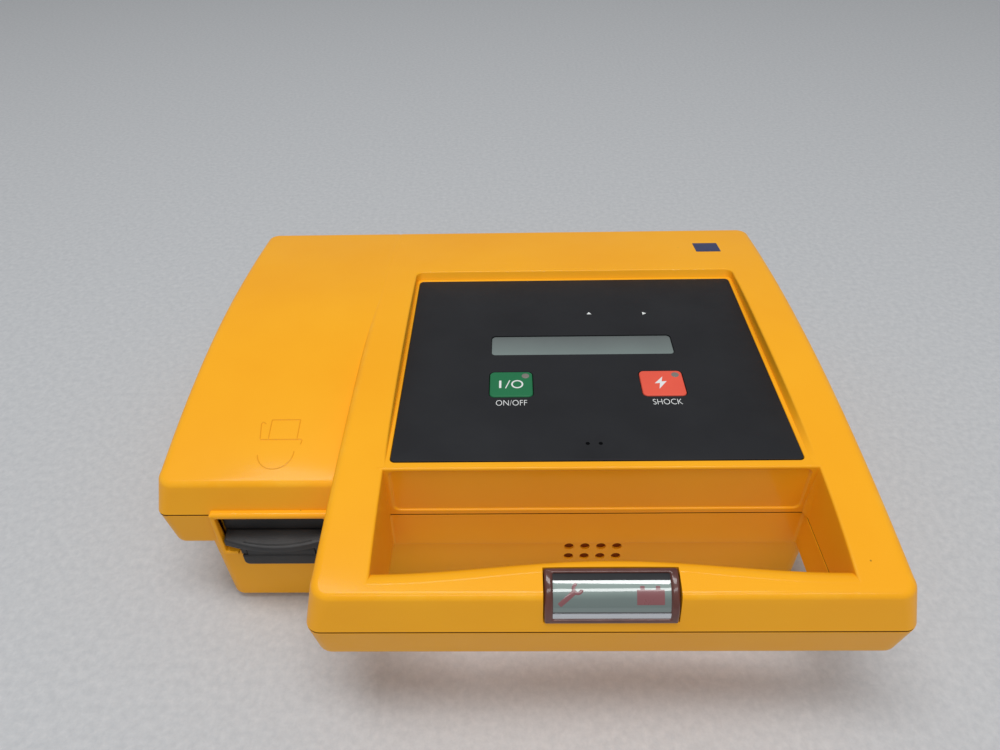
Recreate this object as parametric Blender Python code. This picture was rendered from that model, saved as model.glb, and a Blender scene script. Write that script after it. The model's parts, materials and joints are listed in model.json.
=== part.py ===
"""A portable automated external defibrillator, built from separate named parts.

Metres, +Z up. The origin is on the floor under the middle of the case. +X is the user's right and
-Y is the side with the carrying handle.
"""

import math

import bmesh
import bpy
from mathutils import Matrix, Vector

MM = 0.001

# Clearances and mesh fineness
GAP = 0.3 * MM  # between pieces that touch
RUN = 0.4 * MM  # round the battery and the keys
CORNER_STEPS = 4
EDGE_STEPS = 3
ARCH_STEPS = 14
ROUND_STEPS = 20
SWELL_STEPS = 12

# Case plan at the seam: the control side with its handle, and the battery lobe beside it
MODULE_WIDTH = 226 * MM
LOBE_WIDTH = 76 * MM
BODY_DEPTH = 208.5 * MM  # back of the case to the wall in front of the panel
HANDLE_REACH = 56.5 * MM  # that wall to the front of the grip
ARM_WIDTH = 25 * MM
GRIP_DEPTH = 18 * MM
GRIP_SWELL = 4.2 * MM  # the grip is deeper in the middle
PLAN_ROUND = 6 * MM
WALL = 3 * MM
DRAFT = 0.2  # slope of the case walls, away from the seam
LOBE_DRAFT = 0.08  # of the lobe's walls below the seam

# Case heights
STAND = 1.5 * MM  # the feet hold the base this far off the floor
UNDERSIDE = 42.5 * MM  # below the lobe, the arms and the grip
SEAM = 62.6 * MM
CROWN = 96.8 * MM
CROWN_FROM_WALL = 88 * MM
FRONT_ARCH = 600 * MM
BACK_ARCH = 740 * MM
LOBE_STEP = 12.5 * MM  # the lobe's front lies this much below the arm beside it
LOBE_LIP = 0.4 * MM  # and its back this much below
LOBE_BLEND = 128 * MM  # from the front wall to where the step ends
EDGE_ROUND = 5 * MM
UNDER_ROUND = 3 * MM

# Base under the lobe and the panel
BASE_INSET_SIDE = 18 * MM
BASE_INSET_BACK = 14 * MM
BASE_INSET_FRONT = 1 * MM
BASE_ROUND = 5 * MM
BASE_EDGE = 4 * MM
BASE_DRAFT = 0.02

# Control panel in its recess
PANEL_WIDTH = 168 * MM
PANEL_LENGTH = 137.5 * MM
PANEL_TOP = 90.8 * MM
PANEL_THICK = 1.8 * MM
PANEL_SHIFT = -1.4 * MM  # its middle, from the middle of the control side
PANEL_ROUND = 1.2 * MM
SHELF = 4 * MM  # from the front wall to the panel
LEDGE_DROP = 0.3 * MM  # the ledge round the panel lies this far below its face
RECESS_MARGIN = 1.7 * MM
RECESS_SIDE_SLOPE = 0.4
RECESS_BACK_SLOPE = 0.9
FLOOR = 2.5 * MM
LABEL_DEPTH = 0.8 * MM
LABEL_HEIGHT = 24.5 * MM
LABEL_MARGIN = 1.5 * MM

# Keys, display and microphone, from the middle of the panel's front edge
KEY_WIDTH = 19.6 * MM
KEY_LENGTH = 17.6 * MM
KEY_ROUND = 2.5 * MM
KEY_APART = 68.8 * MM
KEY_Y = 48.5 * MM
KEY_PROUD = 0.4 * MM
KEY_TRAVEL = 0.8 * MM
KEY_RIM = 1.5 * MM  # the flange that keeps a key under the panel
KEY_RIM_THICK = 1.6 * MM
LAMP_DIAMETER = 3.2 * MM
LAMP_DEPTH = 1.2 * MM
LAMP_INSET = 3.2 * MM  # its middle, from the key's two edges
DISPLAY_WIDTH = 88 * MM
DISPLAY_LENGTH = 15.5 * MM
DISPLAY_Y = 78.3 * MM
DISPLAY_RIM = 6 * MM
DISPLAY_BODY = 6 * MM
MIC_Y = 9.7 * MM
MIC_APART = 5.4 * MM
MIC_HOLE = 1.8 * MM
MIC_DIAMETER = 10 * MM
MIC_HEIGHT = 3 * MM
BOARD = 1.6 * MM
KEY_BOARD_MARGIN = 5 * MM  # panel edge to board edge
KEY_WINDOW_MARGIN = 16 * MM  # panel edge to the window in the floor
BOARD_POST = 6 * MM
SWITCH_SIZE = 6 * MM

# Readiness display, set into the top front edge of the grip
READY_WIDTH = 49 * MM
READY_RADIUS = 13.8 * MM
READY_DROP = 13.6 * MM  # its axis, below the top of the grip
READY_CAP = 4 * MM
READY_LIP = 8.0  # degrees of arc at each edge of the window
READY_GLASS = 1.2 * MM
READY_PLATE = 1.0 * MM
READY_LCD_AT = 8.4 * MM  # from the axis
READY_BOARD_AT = 5.6 * MM

# Channel through the handle
CHANNEL = 7 * MM
CHANNEL_ROOF = 7 * MM
CHANNEL_FLOOR = 5 * MM

# Battery bay, well and pack
BAY_WIDTH = 47 * MM
BAY_FROM_ARM = 3 * MM
BAY_FLOOR = 41 * MM
BAY_BRIDGE = 0.6 * MM
RIM_WIDTH = 2.2 * MM
RIM_PROUD = 2.3 * MM
RIM_BEAD = 2.7 * MM  # height of the bead above the seam
PACK_LENGTH = 149 * MM
PACK_SETBACK = 5 * MM
WELL_WALL = 1.6 * MM
CAP_THICK = 1.7 * MM
FLANGE_Z = 45 * MM
FLANGE_THICK = 6 * MM
FLANGE_BULGE = 6.2 * MM
FLANGE_STEPS = 12
CATCH_WIDTH = 36 * MM
CATCH_FOOT = 30 * MM  # height of its lower edge
CATCH_THICK = 3 * MM
CATCH_PIN = 2 * MM
CATCH_LUG = 2.5 * MM
CATCH_KNUCKLE = 4.4 * MM
TERMINAL_WIDTH = 26 * MM
TERMINAL_HEIGHT = 8 * MM
TERMINAL_LENGTH = 12 * MM
PACK_TRAVEL = 160 * MM

# Speaker behind the front wall
SPEAKER_DIAMETER = 42 * MM
SPEAKER_DEPTH = 18 * MM
SPEAKER_Z = 30 * MM
SPEAKER_GASKET = 2 * MM
SPEAKER_PITCH = 7.1 * MM
SPEAKER_HOLE = 3.6 * MM
SPEAKER_HOLES = 4  # along each side

# Main board and what stands on it
MAIN_WIDTH = 176 * MM
MAIN_LENGTH = 132 * MM
MAIN_Z = 14 * MM
MAIN_BACK = 22 * MM  # from the base's back to the board
CAPACITOR_DIAMETER = 34 * MM
CAPACITOR_LENGTH = 68 * MM
TRANSFORMER_WIDTH = 34 * MM
TRANSFORMER_LENGTH = 30 * MM
TRANSFORMER_HEIGHT = 26 * MM
RELAY_WIDTH = 30 * MM
RELAY_LENGTH = 14 * MM
RELAY_HEIGHT = 18 * MM
PART_EDGE = 1 * MM
AISLE = 6 * MM  # between the parts on the board
CELL_DIAMETER = 20 * MM
CELL_HEIGHT = 3.2 * MM
SINK_WIDTH = 52 * MM
SINK_FINS = 6
SINK_HEIGHT = 22 * MM
SINK_DEPTH = 26 * MM
SINK_WEB = 3 * MM
SINK_FIN = 2 * MM

# Sockets in the back of the base
SOCKET_Z = 27 * MM
SOCKET_WIDTH = 28 * MM
SOCKET_HEIGHT = 17 * MM
SOCKET_DEPTH = 18 * MM
SOCKET_FLANGE = 4 * MM
SOCKET_FLANGE_THICK = 2 * MM
SOCKET_WALL = 2.2 * MM
SOCKET_X = 70 * MM
CONTACT_APART = 14 * MM
CONTACT_DIAMETER = 4 * MM
PORT_X = 20 * MM
PORT_WIDTH = 18 * MM
PORT_HEIGHT = 9 * MM
PORT_DEPTH = 9 * MM
PORT_CAP = 2.4 * MM

# Screws, feet and seal
SCREW_SHANK = 3.2 * MM
SCREW_HEAD = 6 * MM
SCREW_HEAD_THICK = 2.6 * MM
SCREW_SINK = 2.4 * MM
SCREW_BITE = 11 * MM  # into the upper case
SCREW_POST = 9.4 * MM
SCREW_FROM_SIDE = 11.5 * MM
SCREW_FROM_WALL = 24 * MM
SCREW_FROM_BACK = 26 * MM
ARM_SCREW_INSET = 9 * MM
FOOT_DIAMETER = 16 * MM
FOOT_SEAT = 1 * MM
FOOT_FROM_EDGE = 15 * MM
SEAL_WIDTH = 1.2 * MM
SEAL_HEIGHT = 1.2 * MM
LEAD = 3 * MM
RIBBON_WIDTH = 18 * MM
RIBBON_THICK = 0.6 * MM

# Places worked out from the sizes above
LEFT = -(MODULE_WIDTH + LOBE_WIDTH) / 2
RIGHT = -LEFT
ARM_LEFT = RIGHT - MODULE_WIDTH
BACK = (BODY_DEPTH + HANDLE_REACH) / 2
FRONT = -BACK
FRONT_WALL = BACK - BODY_DEPTH
MODULE_X = RIGHT - MODULE_WIDTH / 2
OPEN_LEFT = ARM_LEFT + ARM_WIDTH
OPEN_RIGHT = RIGHT - ARM_WIDTH
GRIP_BACK = FRONT + GRIP_DEPTH
GRIP_Y = FRONT + GRIP_DEPTH / 2
PANEL_X = MODULE_X + PANEL_SHIFT
PANEL_FRONT = FRONT_WALL + SHELF
PANEL_BACK = PANEL_FRONT + PANEL_LENGTH
LEDGE = PANEL_TOP - LEDGE_DROP
OVER = max(CROWN, PANEL_TOP) + EDGE_ROUND  # clear above every piece, for the cutters
PANEL_UNDER = PANEL_TOP - PANEL_THICK
FLOOR_TOP = PANEL_UNDER - GAP
FLOOR_UNDER = FLOOR_TOP - FLOOR
KEY_BOARD_TOP = FLOOR_TOP - DISPLAY_BODY - GAP
BASE_LEFT = LEFT + BASE_INSET_SIDE
BASE_RIGHT = RIGHT - BASE_INSET_SIDE
BASE_FRONT = FRONT_WALL + BASE_INSET_FRONT
BASE_BACK = BACK - BASE_INSET_BACK
BASE_FLOOR = STAND + WALL
BAY_RIGHT = ARM_LEFT - BAY_FROM_ARM
BAY_LEFT = BAY_RIGHT - BAY_WIDTH
BAY_X = (BAY_LEFT + BAY_RIGHT) / 2
BAY_TOP = SEAM - BAY_BRIDGE
PACK_FRONT = FRONT_WALL + PACK_SETBACK
PACK_BACK = PACK_FRONT + PACK_LENGTH
MAIN_TOP = MAIN_Z + BOARD
MAIN_Y1 = BASE_BACK - MAIN_BACK
MAIN_Y0 = MAIN_Y1 - MAIN_LENGTH
MAIN_X1 = BASE_RIGHT - WALL - FOOT_FROM_EDGE / 2
MAIN_X0 = MAIN_X1 - MAIN_WIDTH


def crown_at(y):
    """Height of the case top at y: two arcs that meet level at the crown."""
    along = y - (FRONT_WALL + CROWN_FROM_WALL)
    return CROWN - along * along / (2 * (BACK_ARCH if along > 0 else FRONT_ARCH))


def lobe_at(y):
    """Height of the lobe's top: the case top less a step that grows towards the front."""
    share = max(0.0, (FRONT_WALL + LOBE_BLEND - y) / LOBE_BLEND)
    return crown_at(y) - LOBE_LIP - LOBE_STEP * share * share


READY_Y = FRONT + READY_RADIUS + GAP
READY_Z = crown_at(READY_Y) - READY_DROP


def clear_scene():
    for obj in list(bpy.data.objects):
        bpy.data.objects.remove(obj, do_unlink=True)


def material(name, colour, roughness, metallic=0.0, alpha=1.0):
    made = bpy.data.materials.new(name)
    made.use_nodes = True
    shader = made.node_tree.nodes["Principled BSDF"]
    shader.inputs["Base Color"].default_value = (*colour, 1.0)
    shader.inputs["Roughness"].default_value = roughness
    shader.inputs["Metallic"].default_value = metallic
    shader.inputs["Alpha"].default_value = alpha
    return made


def solid(name, bm, finish=None):
    """A named object from a bmesh, with its round faces shaded smooth."""
    mesh = bpy.data.meshes.new(name)
    bm.to_mesh(mesh)
    bm.free()
    obj = bpy.data.objects.new(name, mesh)
    bpy.context.scene.collection.objects.link(obj)
    if finish:
        dress(obj, finish)
    return obj


def dress(obj, finish):
    obj.data.materials.clear()
    obj.data.materials.append(finish)
    obj.data.shade_smooth()
    obj.data.set_sharp_from_angle(angle=math.radians(35))


def freeze(obj):
    """Makes the modifiers' result the object's own mesh."""
    bpy.context.view_layer.update()
    graph = bpy.context.evaluated_depsgraph_get()
    plain = obj.data
    obj.data = bpy.data.meshes.new_from_object(obj.evaluated_get(graph))
    obj.modifiers.clear()
    bpy.data.meshes.remove(plain)


def combine(obj, operation, shapes):
    """Adds shapes to the object or cuts them from it, one after another."""
    tools = [solid("tool", shape) for shape in shapes]
    for tool in tools:
        step = obj.modifiers.new("step", "BOOLEAN")
        step.operation = operation
        step.object = tool
    freeze(obj)
    for tool in tools:
        bpy.data.objects.remove(tool, do_unlink=True)


def add(obj, *shapes):
    combine(obj, "UNION", shapes)


def cut(obj, *shapes):
    combine(obj, "DIFFERENCE", shapes)


def skin(rings, ladder=False):
    """A closed solid through rings of equal length, capped flat or with rungs across from side to side."""
    bm = bmesh.new()
    grid = [[bm.verts.new(point) for point in ring] for ring in rings]
    count = len(grid[0])
    for low, high in zip(grid, grid[1:]):
        for i in range(count):
            j = (i + 1) % count
            bm.faces.new((low[i], low[j], high[j], high[i]))
    for ring in (grid[0], grid[-1]):
        if ladder:
            for i in range(count // 2 - 1):
                bm.faces.new((ring[i], ring[i + 1], ring[count - 2 - i], ring[count - 1 - i]))
        else:
            bm.faces.new(ring)
    bmesh.ops.recalc_face_normals(bm, faces=bm.faces)
    return bm


def plan_chain(front, back, corner):
    """One side of a rounded rectangle, front to back: inset from the side, y, and the way y shrinks."""
    chain = []
    for i in range(CORNER_STEPS + 1):
        turn = math.pi / 2 * (i / CORNER_STEPS - 1)
        chain.append((corner * (1 - math.cos(turn)), front + corner * (1 + math.sin(turn)), 1))
    for i in range(1, ARCH_STEPS):
        chain.append((0.0, front + corner + (back - front - 2 * corner) * i / ARCH_STEPS, 0))
    for i in range(CORNER_STEPS + 1):
        turn = math.pi / 2 * i / CORNER_STEPS
        chain.append((corner * (1 - math.cos(turn)), back - corner * (1 - math.sin(turn)), -1))
    return chain


def case_half(plan, seam, surface, corner, edge, draft=DRAFT, reach=0.0):
    """Half a case: sloped walls that start at the seam, a rounded edge, then the surface z(y).

    The corners keep their radius as the walls lean in. reach carries the outline straight on past
    the seam, for a shape that cuts.
    """
    left, right, front, back = plan
    chain = plan_chain(front, back, corner)
    side = 1 if surface((front + back) / 2) > seam else -1

    def wall(y):
        return draft * abs(surface(y) - side * edge - seam)

    def ring(offset, height):
        starboard, port = [], []
        for inset, y, pull in chain:
            inward = offset(y)
            edge_y = y + pull * inward
            z = height(edge_y)
            starboard.append((right - inset - inward, edge_y, z))
            port.append((left + inset + inward, edge_y, z))
        return starboard + port[::-1]

    rings = [ring(lambda y: 0.0, lambda y: seam)]
    if reach:
        rings.insert(0, ring(lambda y: 0.0, lambda y: seam - side * reach))
    for i in range(EDGE_STEPS + 1):
        turn = math.pi / 2 * i / EDGE_STEPS
        out, up = edge * (1 - math.cos(turn)), edge * (1 - math.sin(turn))
        rings.append(ring(lambda y: wall(y) + out, lambda y: surface(y) - side * up))
    return skin(rings, ladder=True)


def box(x0, x1, y0, y1, z0, z1):
    outline = [(x0, y0), (x1, y0), (x1, y1), (x0, y1)]
    return prism(outline, z0, z1)


def prism(outline, z0, z1):
    return skin([[(x, y, z) for x, y in outline] for z in (z0, z1)])


def rounded(x0, x1, y0, y1, corner, steps=CORNER_STEPS):
    """Outline of a rounded rectangle, anticlockwise."""
    points = []
    centres = [(x1 - corner, y0 + corner), (x1 - corner, y1 - corner)]
    centres += [(x0 + corner, y1 - corner), (x0 + corner, y0 + corner)]
    for quarter, (x, y) in enumerate(centres):
        for i in range(steps + 1):
            turn = math.pi / 2 * (quarter - 1 + i / steps)
            points.append((x + corner * math.cos(turn), y + corner * math.sin(turn)))
    return points


def turned(profile, place, steps=ROUND_STEPS):
    """A turned solid from (radius, height) pairs along the local Z of place."""
    rings = []
    for radius, height in profile:
        ring = []
        for i in range(steps):
            turn = 2 * math.pi * i / steps
            ring.append(place @ Vector((radius * math.cos(turn), radius * math.sin(turn), height)))
        rings.append(ring)
    return skin(rings)


def upright(x, y, z=0.0):
    return Matrix.Translation((x, y, z))


def along_y(x, y, z):
    """A place whose local Z runs along +Y."""
    return Matrix.Translation((x, y, z)) @ Matrix.Rotation(-math.pi / 2, 4, "X")


def along_x(x, y, z):
    """A place whose local Z runs along +X."""
    return Matrix.Translation((x, y, z)) @ Matrix.Rotation(math.pi / 2, 4, "Y")


def rod(diameter, low, high, place, steps=ROUND_STEPS):
    return turned([(diameter / 2, low), (diameter / 2, high)], place, steps)


def softened(bm, width):
    """The shape with its edges bevelled."""
    bmesh.ops.bevel(bm, geom=bm.edges[:], offset=width, segments=2, profile=0.5, affect="EDGES")
    return bm


def swept_x(outline, x0, x1):
    """An outline of (y, z) points carried from x0 to x1."""
    return skin([[(x, y, z) for y, z in outline] for x in (x0, x1)])


def lead(name, route, diameter, finish):
    """A round wire through the route's points."""
    curve = bpy.data.curves.new(name, "CURVE")
    curve.dimensions = "3D"
    curve.bevel_depth = diameter / 2
    curve.bevel_resolution = 2
    curve.use_fill_caps = True
    spline = curve.splines.new("POLY")
    spline.points.add(len(route) - 1)
    for point, place in zip(spline.points, route):
        point.co = (*place, 1.0)
    curve.materials.append(finish)
    obj = bpy.data.objects.new(name, curve)
    bpy.context.scene.collection.objects.link(obj)
    return obj


def eased(route, steps):
    """Points along a smooth curve through the route."""
    points = [Vector(place) for place in route]
    ends = [2 * points[0] - points[1]] + points + [2 * points[-1] - points[-2]]
    made = []
    for a, b, c, d in zip(ends, ends[1:], ends[2:], ends[3:]):
        for i in range(steps):
            t = i / steps
            bend = (c - a) * t + (2 * a - 5 * b + 4 * c - d) * t**2 + (3 * b - a - 3 * c + d) * t**3
            made.append(b + bend / 2)
    return made + [points[-1]]


def handle_opening():
    """Cutter for the finger opening, narrowest at the seam, with the swell of the grip along its front."""
    rings = []
    for z in (0.0, SEAM, CROWN + EDGE_ROUND):
        push = DRAFT * abs(z - SEAM)
        ring = []
        for i in range(SWELL_STEPS + 1):
            share = i / SWELL_STEPS
            x = OPEN_LEFT + share * (OPEN_RIGHT - OPEN_LEFT)
            ring.append((x, GRIP_BACK - push + GRIP_SWELL * math.sin(math.pi * share) ** 2, z))
        rings.append(ring + [(OPEN_RIGHT, FRONT_WALL, z), (OPEN_LEFT, FRONT_WALL, z)])
    return skin(rings)


def handle_channels(z0, z1):
    """Cutters for the hollow of the two arms and the grip."""
    half = CHANNEL / 2
    left, right = OPEN_LEFT - CHANNEL, OPEN_RIGHT + CHANNEL
    inside = FRONT_WALL + 2 * WALL
    return [
        box(left - half, left + half, GRIP_Y - half, inside, z0, z1),
        box(right - half, right + half, GRIP_Y - half, inside, z0, z1),
        box(left, right, GRIP_Y - half, GRIP_Y + half, z0, z1),
    ]


def side_screws():
    """(x, y) of the screws along the two sides, which need posts."""
    xs = (LEFT + SCREW_FROM_SIDE, RIGHT - SCREW_FROM_SIDE)
    ys = (FRONT_WALL + SCREW_FROM_WALL, BACK - SCREW_FROM_BACK)
    return [(x, y) for x in xs for y in ys]


def screw_places():
    """(x, y) of each case screw: along the sides and in the solid outer half of each arm."""
    y = (FRONT + FRONT_WALL) / 2
    return side_screws() + [(ARM_LEFT + ARM_SCREW_INSET, y), (RIGHT - ARM_SCREW_INSET, y)]


def foot_places():
    xs = (BASE_LEFT + FOOT_FROM_EDGE, BASE_RIGHT - FOOT_FROM_EDGE)
    ys = (BASE_FRONT + FOOT_FROM_EDGE, BASE_BACK - FOOT_FROM_EDGE)
    return [(x, y) for x in xs for y in ys]


def key_places():
    y = PANEL_FRONT + KEY_Y
    return {"on_off": (PANEL_X - KEY_APART / 2, y), "shock": (PANEL_X + KEY_APART / 2, y)}


def panel_recess():
    """Cutter for the recess: open to the front, with sloped sides and a long slope at the back."""
    deep = OVER - LEDGE
    rings = []
    for rise in (0.0, deep):
        half = PANEL_WIDTH / 2 + RECESS_MARGIN + rise * RECESS_SIDE_SLOPE
        back = PANEL_BACK + RECESS_MARGIN + rise * RECESS_BACK_SLOPE
        front = FRONT_WALL - EDGE_ROUND
        outline = [(-half, front), (half, front), (half, back), (-half, back)]
        rings.append([(PANEL_X + x, y, LEDGE + rise) for x, y in outline])
    return skin(rings)


def panel_outline(grow=0.0):
    half = PANEL_WIDTH / 2 + grow
    corner = max(PANEL_ROUND + grow, GAP)
    return rounded(PANEL_X - half, PANEL_X + half, PANEL_FRONT - grow, PANEL_BACK + grow, corner)


def key_board_posts():
    inset = (KEY_BOARD_MARGIN + KEY_WINDOW_MARGIN) / 2
    xs = [PANEL_X + s * (PANEL_WIDTH / 2 - inset) for s in (-1, 1)]
    ys = (PANEL_FRONT + inset, PANEL_BACK - inset)
    return [(x, y) for x in xs for y in ys]


def upper_case(finish):
    seam = SEAM + GAP
    module_plan = (ARM_LEFT, RIGHT, FRONT, BACK)
    obj = solid("upper_case", case_half(module_plan, seam, crown_at, PLAN_ROUND, EDGE_ROUND))
    lobe_plan = (LEFT, OPEN_LEFT, FRONT_WALL, BACK - LOBE_LIP)
    deck = prism(panel_outline(RECESS_MARGIN), seam + WALL, LEDGE)
    add(obj, case_half(lobe_plan, seam, lobe_at, PLAN_ROUND, EDGE_ROUND), deck)

    inner_round, inner_edge = PLAN_ROUND - WALL, EDGE_ROUND - WALL
    front, back = FRONT_WALL + WALL, BACK - WALL
    lobe_room = (LEFT + WALL, OPEN_LEFT, front, back)
    module_room = (ARM_LEFT + WALL, RIGHT - WALL, front, back)

    def lobe_roof(y):
        return min(lobe_at(y) - WALL, FLOOR_UNDER)

    def module_roof(y):
        return min(crown_at(y) - WALL, FLOOR_UNDER)

    cut(
        obj,
        handle_opening(),
        panel_recess(),
        prism(panel_outline(GAP), FLOOR_TOP, OVER),
        prism(panel_outline(RECESS_MARGIN - WALL), seam + WALL, FLOOR_UNDER),
        case_half(lobe_room, seam, lobe_roof, inner_round, inner_edge, reach=WALL),
        case_half(module_room, seam, module_roof, inner_round, inner_edge, reach=WALL),
        *handle_channels(SEAM - WALL, crown_at(GRIP_Y) - CHANNEL_ROOF),
    )

    half = READY_WIDTH / 2 + GAP
    seat = READY_Z - READY_GLASS - GAP
    window = PANEL_WIDTH / 2 - KEY_WINDOW_MARGIN
    window_front, window_back = PANEL_FRONT + KEY_WINDOW_MARGIN, PANEL_BACK - KEY_WINDOW_MARGIN
    cut(
        obj,
        box(MODULE_X - half, MODULE_X + half, FRONT - WALL, READY_Y + GAP, seat, CROWN),
        box(PANEL_X - window, PANEL_X + window, window_front, window_back, FLOOR_UNDER - WALL, OVER),
        rod(MIC_DIAMETER + 2 * GAP, FLOOR_UNDER - WALL, OVER, upright(PANEL_X, PANEL_FRONT + MIC_Y)),
        box(OPEN_LEFT + LABEL_MARGIN, OPEN_RIGHT - LABEL_MARGIN, FRONT_WALL - WALL, FRONT_WALL + LABEL_DEPTH,
            seam + LABEL_MARGIN, seam + LABEL_MARGIN + LABEL_HEIGHT),
    )

    posts = []
    for x, y in key_board_posts():
        posts.append(rod(BOARD_POST, KEY_BOARD_TOP + GAP, FLOOR_TOP - GAP, upright(x, y)))
    for x, y in side_screws():
        roof = lobe_at(y) if x < ARM_LEFT else crown_at(y)
        posts.append(rod(SCREW_POST, seam, roof - WALL / 2, upright(x, y)))
    add(obj, *posts)
    for x, y in screw_places():
        cut(obj, rod(SCREW_SHANK + 2 * GAP, SEAM - WALL, SEAM + SCREW_BITE + GAP, upright(x, y)))
    cut(obj, seal_ring(GAP, SEAM - WALL, seam + SEAL_HEIGHT))
    dress(obj, finish)


def seal_ring(grow, z0, z1):
    """The seal's loop round the body, widened by grow."""
    middle = WALL / 2
    rings = []
    for side in (-1, 1):
        inset = middle - side * (SEAL_WIDTH / 2 + grow)
        front, back = FRONT_WALL + inset, BACK - LOBE_LIP - inset
        rings.append(rounded(LEFT + inset, RIGHT - inset, front, back, PLAN_ROUND - inset))
    inner, outer = rings
    order = [(inner, z0), (outer, z0), (outer, z1), (inner, z1)]
    bm = bmesh.new()
    loops = [[bm.verts.new((x, y, z)) for x, y in outline] for outline, z in order]
    for low, high in zip(loops, loops[1:] + loops[:1]):
        for i in range(len(low)):
            j = (i + 1) % len(low)
            bm.faces.new((low[i], low[j], high[j], high[i]))
    bmesh.ops.recalc_face_normals(bm, faces=bm.faces)
    return bm


def case_seal(finish):
    solid("case_seal", seal_ring(0.0, SEAM + GAP, SEAM + SEAL_HEIGHT), finish)


def bay_cutters():
    """Cutters for the well's seat, the mouth of the bay, the space over its bridge and the catch's notch."""
    inside = FRONT_WALL + 2 * WALL
    outside = FRONT_WALL - 2 * RIM_PROUD
    half = CATCH_WIDTH / 2 + RUN
    seat = WELL_WALL + GAP
    near, far = FRONT_WALL + WALL, FRONT_WALL + 5 * WALL
    return [
        box(BAY_LEFT - seat, BAY_RIGHT + seat, near, far, BAY_FLOOR - seat, SEAM + WALL),
        box(BAY_LEFT, BAY_RIGHT, outside, inside, BAY_FLOOR, BAY_TOP),
        box(BAY_LEFT, BAY_RIGHT, FRONT_WALL, inside, BAY_TOP - BAY_BRIDGE, SEAM + WALL),
        box(BAY_X - half, BAY_X + half, outside, inside, CATCH_FOOT - RUN, BAY_FLOOR + BAY_BRIDGE),
    ]


def speaker_holes():
    middle = (SPEAKER_HOLES - 1) / 2
    made = []
    for column in range(SPEAKER_HOLES):
        for row in range(SPEAKER_HOLES):
            x = MODULE_X + (column - middle) * SPEAKER_PITCH
            z = SPEAKER_Z + (row - middle) * SPEAKER_PITCH
            made.append(rod(SPEAKER_HOLE, -WALL, 2 * WALL, along_y(x, FRONT_WALL, z), 8))
    return made


def main_board_posts():
    inset = BOARD_POST
    return [(x, y) for x in (MAIN_X0 + inset, MAIN_X1 - inset) for y in (MAIN_Y0 + inset, MAIN_Y1 - inset)]


def lower_case(finish):
    module_plan = (ARM_LEFT, RIGHT, FRONT, BACK)
    obj = solid("lower_case", case_half(module_plan, SEAM, lambda y: UNDERSIDE, PLAN_ROUND, UNDER_ROUND))
    lobe_plan = (LEFT, OPEN_LEFT, FRONT_WALL, BACK - LOBE_LIP)
    base_plan = (BASE_LEFT, BASE_RIGHT, BASE_FRONT, BASE_BACK)
    base_seam = UNDERSIDE + 2 * WALL
    under_lobe = UNDERSIDE - LOBE_LIP
    add(obj, case_half(lobe_plan, SEAM, lambda y: under_lobe, PLAN_ROUND, UNDER_ROUND, LOBE_DRAFT))
    cut(obj, handle_opening())
    add(
        obj,
        case_half(base_plan, base_seam, lambda y: STAND, BASE_ROUND, BASE_EDGE, BASE_DRAFT),
        box(BAY_LEFT - RIM_WIDTH, BAY_RIGHT + RIM_WIDTH, FRONT_WALL - RIM_PROUD, FRONT_WALL + 2 * RIM_PROUD,
            BAY_FLOOR - RIM_WIDTH, SEAM),
        box(BAY_LEFT - RIM_WIDTH, BAY_RIGHT + RIM_WIDTH, FRONT_WALL - RIM_PROUD, FRONT_WALL - GAP,
            BAY_TOP, SEAM + RIM_BEAD),
    )

    room = (LEFT + WALL, RIGHT - WALL, FRONT_WALL + WALL, BACK - WALL)
    base_room = (BASE_LEFT + WALL, BASE_RIGHT - WALL, BASE_FRONT + WALL, BASE_BACK - WALL)
    base_round = BASE_ROUND - WALL
    cut(
        obj,
        case_half(room, SEAM, lambda y: UNDERSIDE + WALL, PLAN_ROUND - WALL, UNDER_ROUND, reach=WALL),
        case_half(base_room, base_seam, lambda y: BASE_FLOOR, base_round, UNDER_ROUND, BASE_DRAFT, WALL),
        *handle_channels(UNDERSIDE + CHANNEL_FLOOR, SEAM + WALL),
        *bay_cutters(),
        *speaker_holes(),
    )

    posts = [rod(SCREW_POST, UNDERSIDE + WALL / 2, SEAM, upright(x, y)) for x, y in side_screws()]
    posts += [rod(BOARD_POST, BASE_FLOOR - GAP, MAIN_Z - GAP, upright(x, y)) for x, y in main_board_posts()]
    rib_top = BAY_FLOOR - WELL_WALL - GAP
    for y in well_ribs():
        posts.append(box(BAY_LEFT, BAY_RIGHT, y - WALL / 2, y + WALL / 2, BASE_FLOOR - GAP, rib_top))
    add(obj, *posts)

    holes = []
    for x, y in screw_places():
        sink = UNDERSIDE + SCREW_SINK + SCREW_HEAD_THICK + GAP
        shank, head = SCREW_SHANK / 2 + GAP, SCREW_HEAD / 2 + GAP
        steps = [(head, UNDERSIDE - WALL), (head, sink), (shank, sink), (shank, SEAM + WALL)]
        holes.append(turned(steps, upright(x, y)))
    for x, y in foot_places():
        holes.append(rod(FOOT_DIAMETER + 2 * GAP, -WALL, STAND + FOOT_SEAT + GAP, upright(x, y)))
    behind = BASE_BACK - 2 * WALL
    for x, width, height in ((SOCKET_X, SOCKET_WIDTH, SOCKET_HEIGHT), (PORT_X, PORT_WIDTH, PORT_HEIGHT)):
        half, tall = width / 2 + GAP, height / 2 + GAP
        holes.append(box(x - half, x + half, behind, BACK, SOCKET_Z - tall, SOCKET_Z + tall))
    cut(obj, *holes)
    dress(obj, finish)


def well_ribs():
    return (PACK_FRONT + PACK_LENGTH / 4, PACK_FRONT + 3 * PACK_LENGTH / 4)


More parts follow.
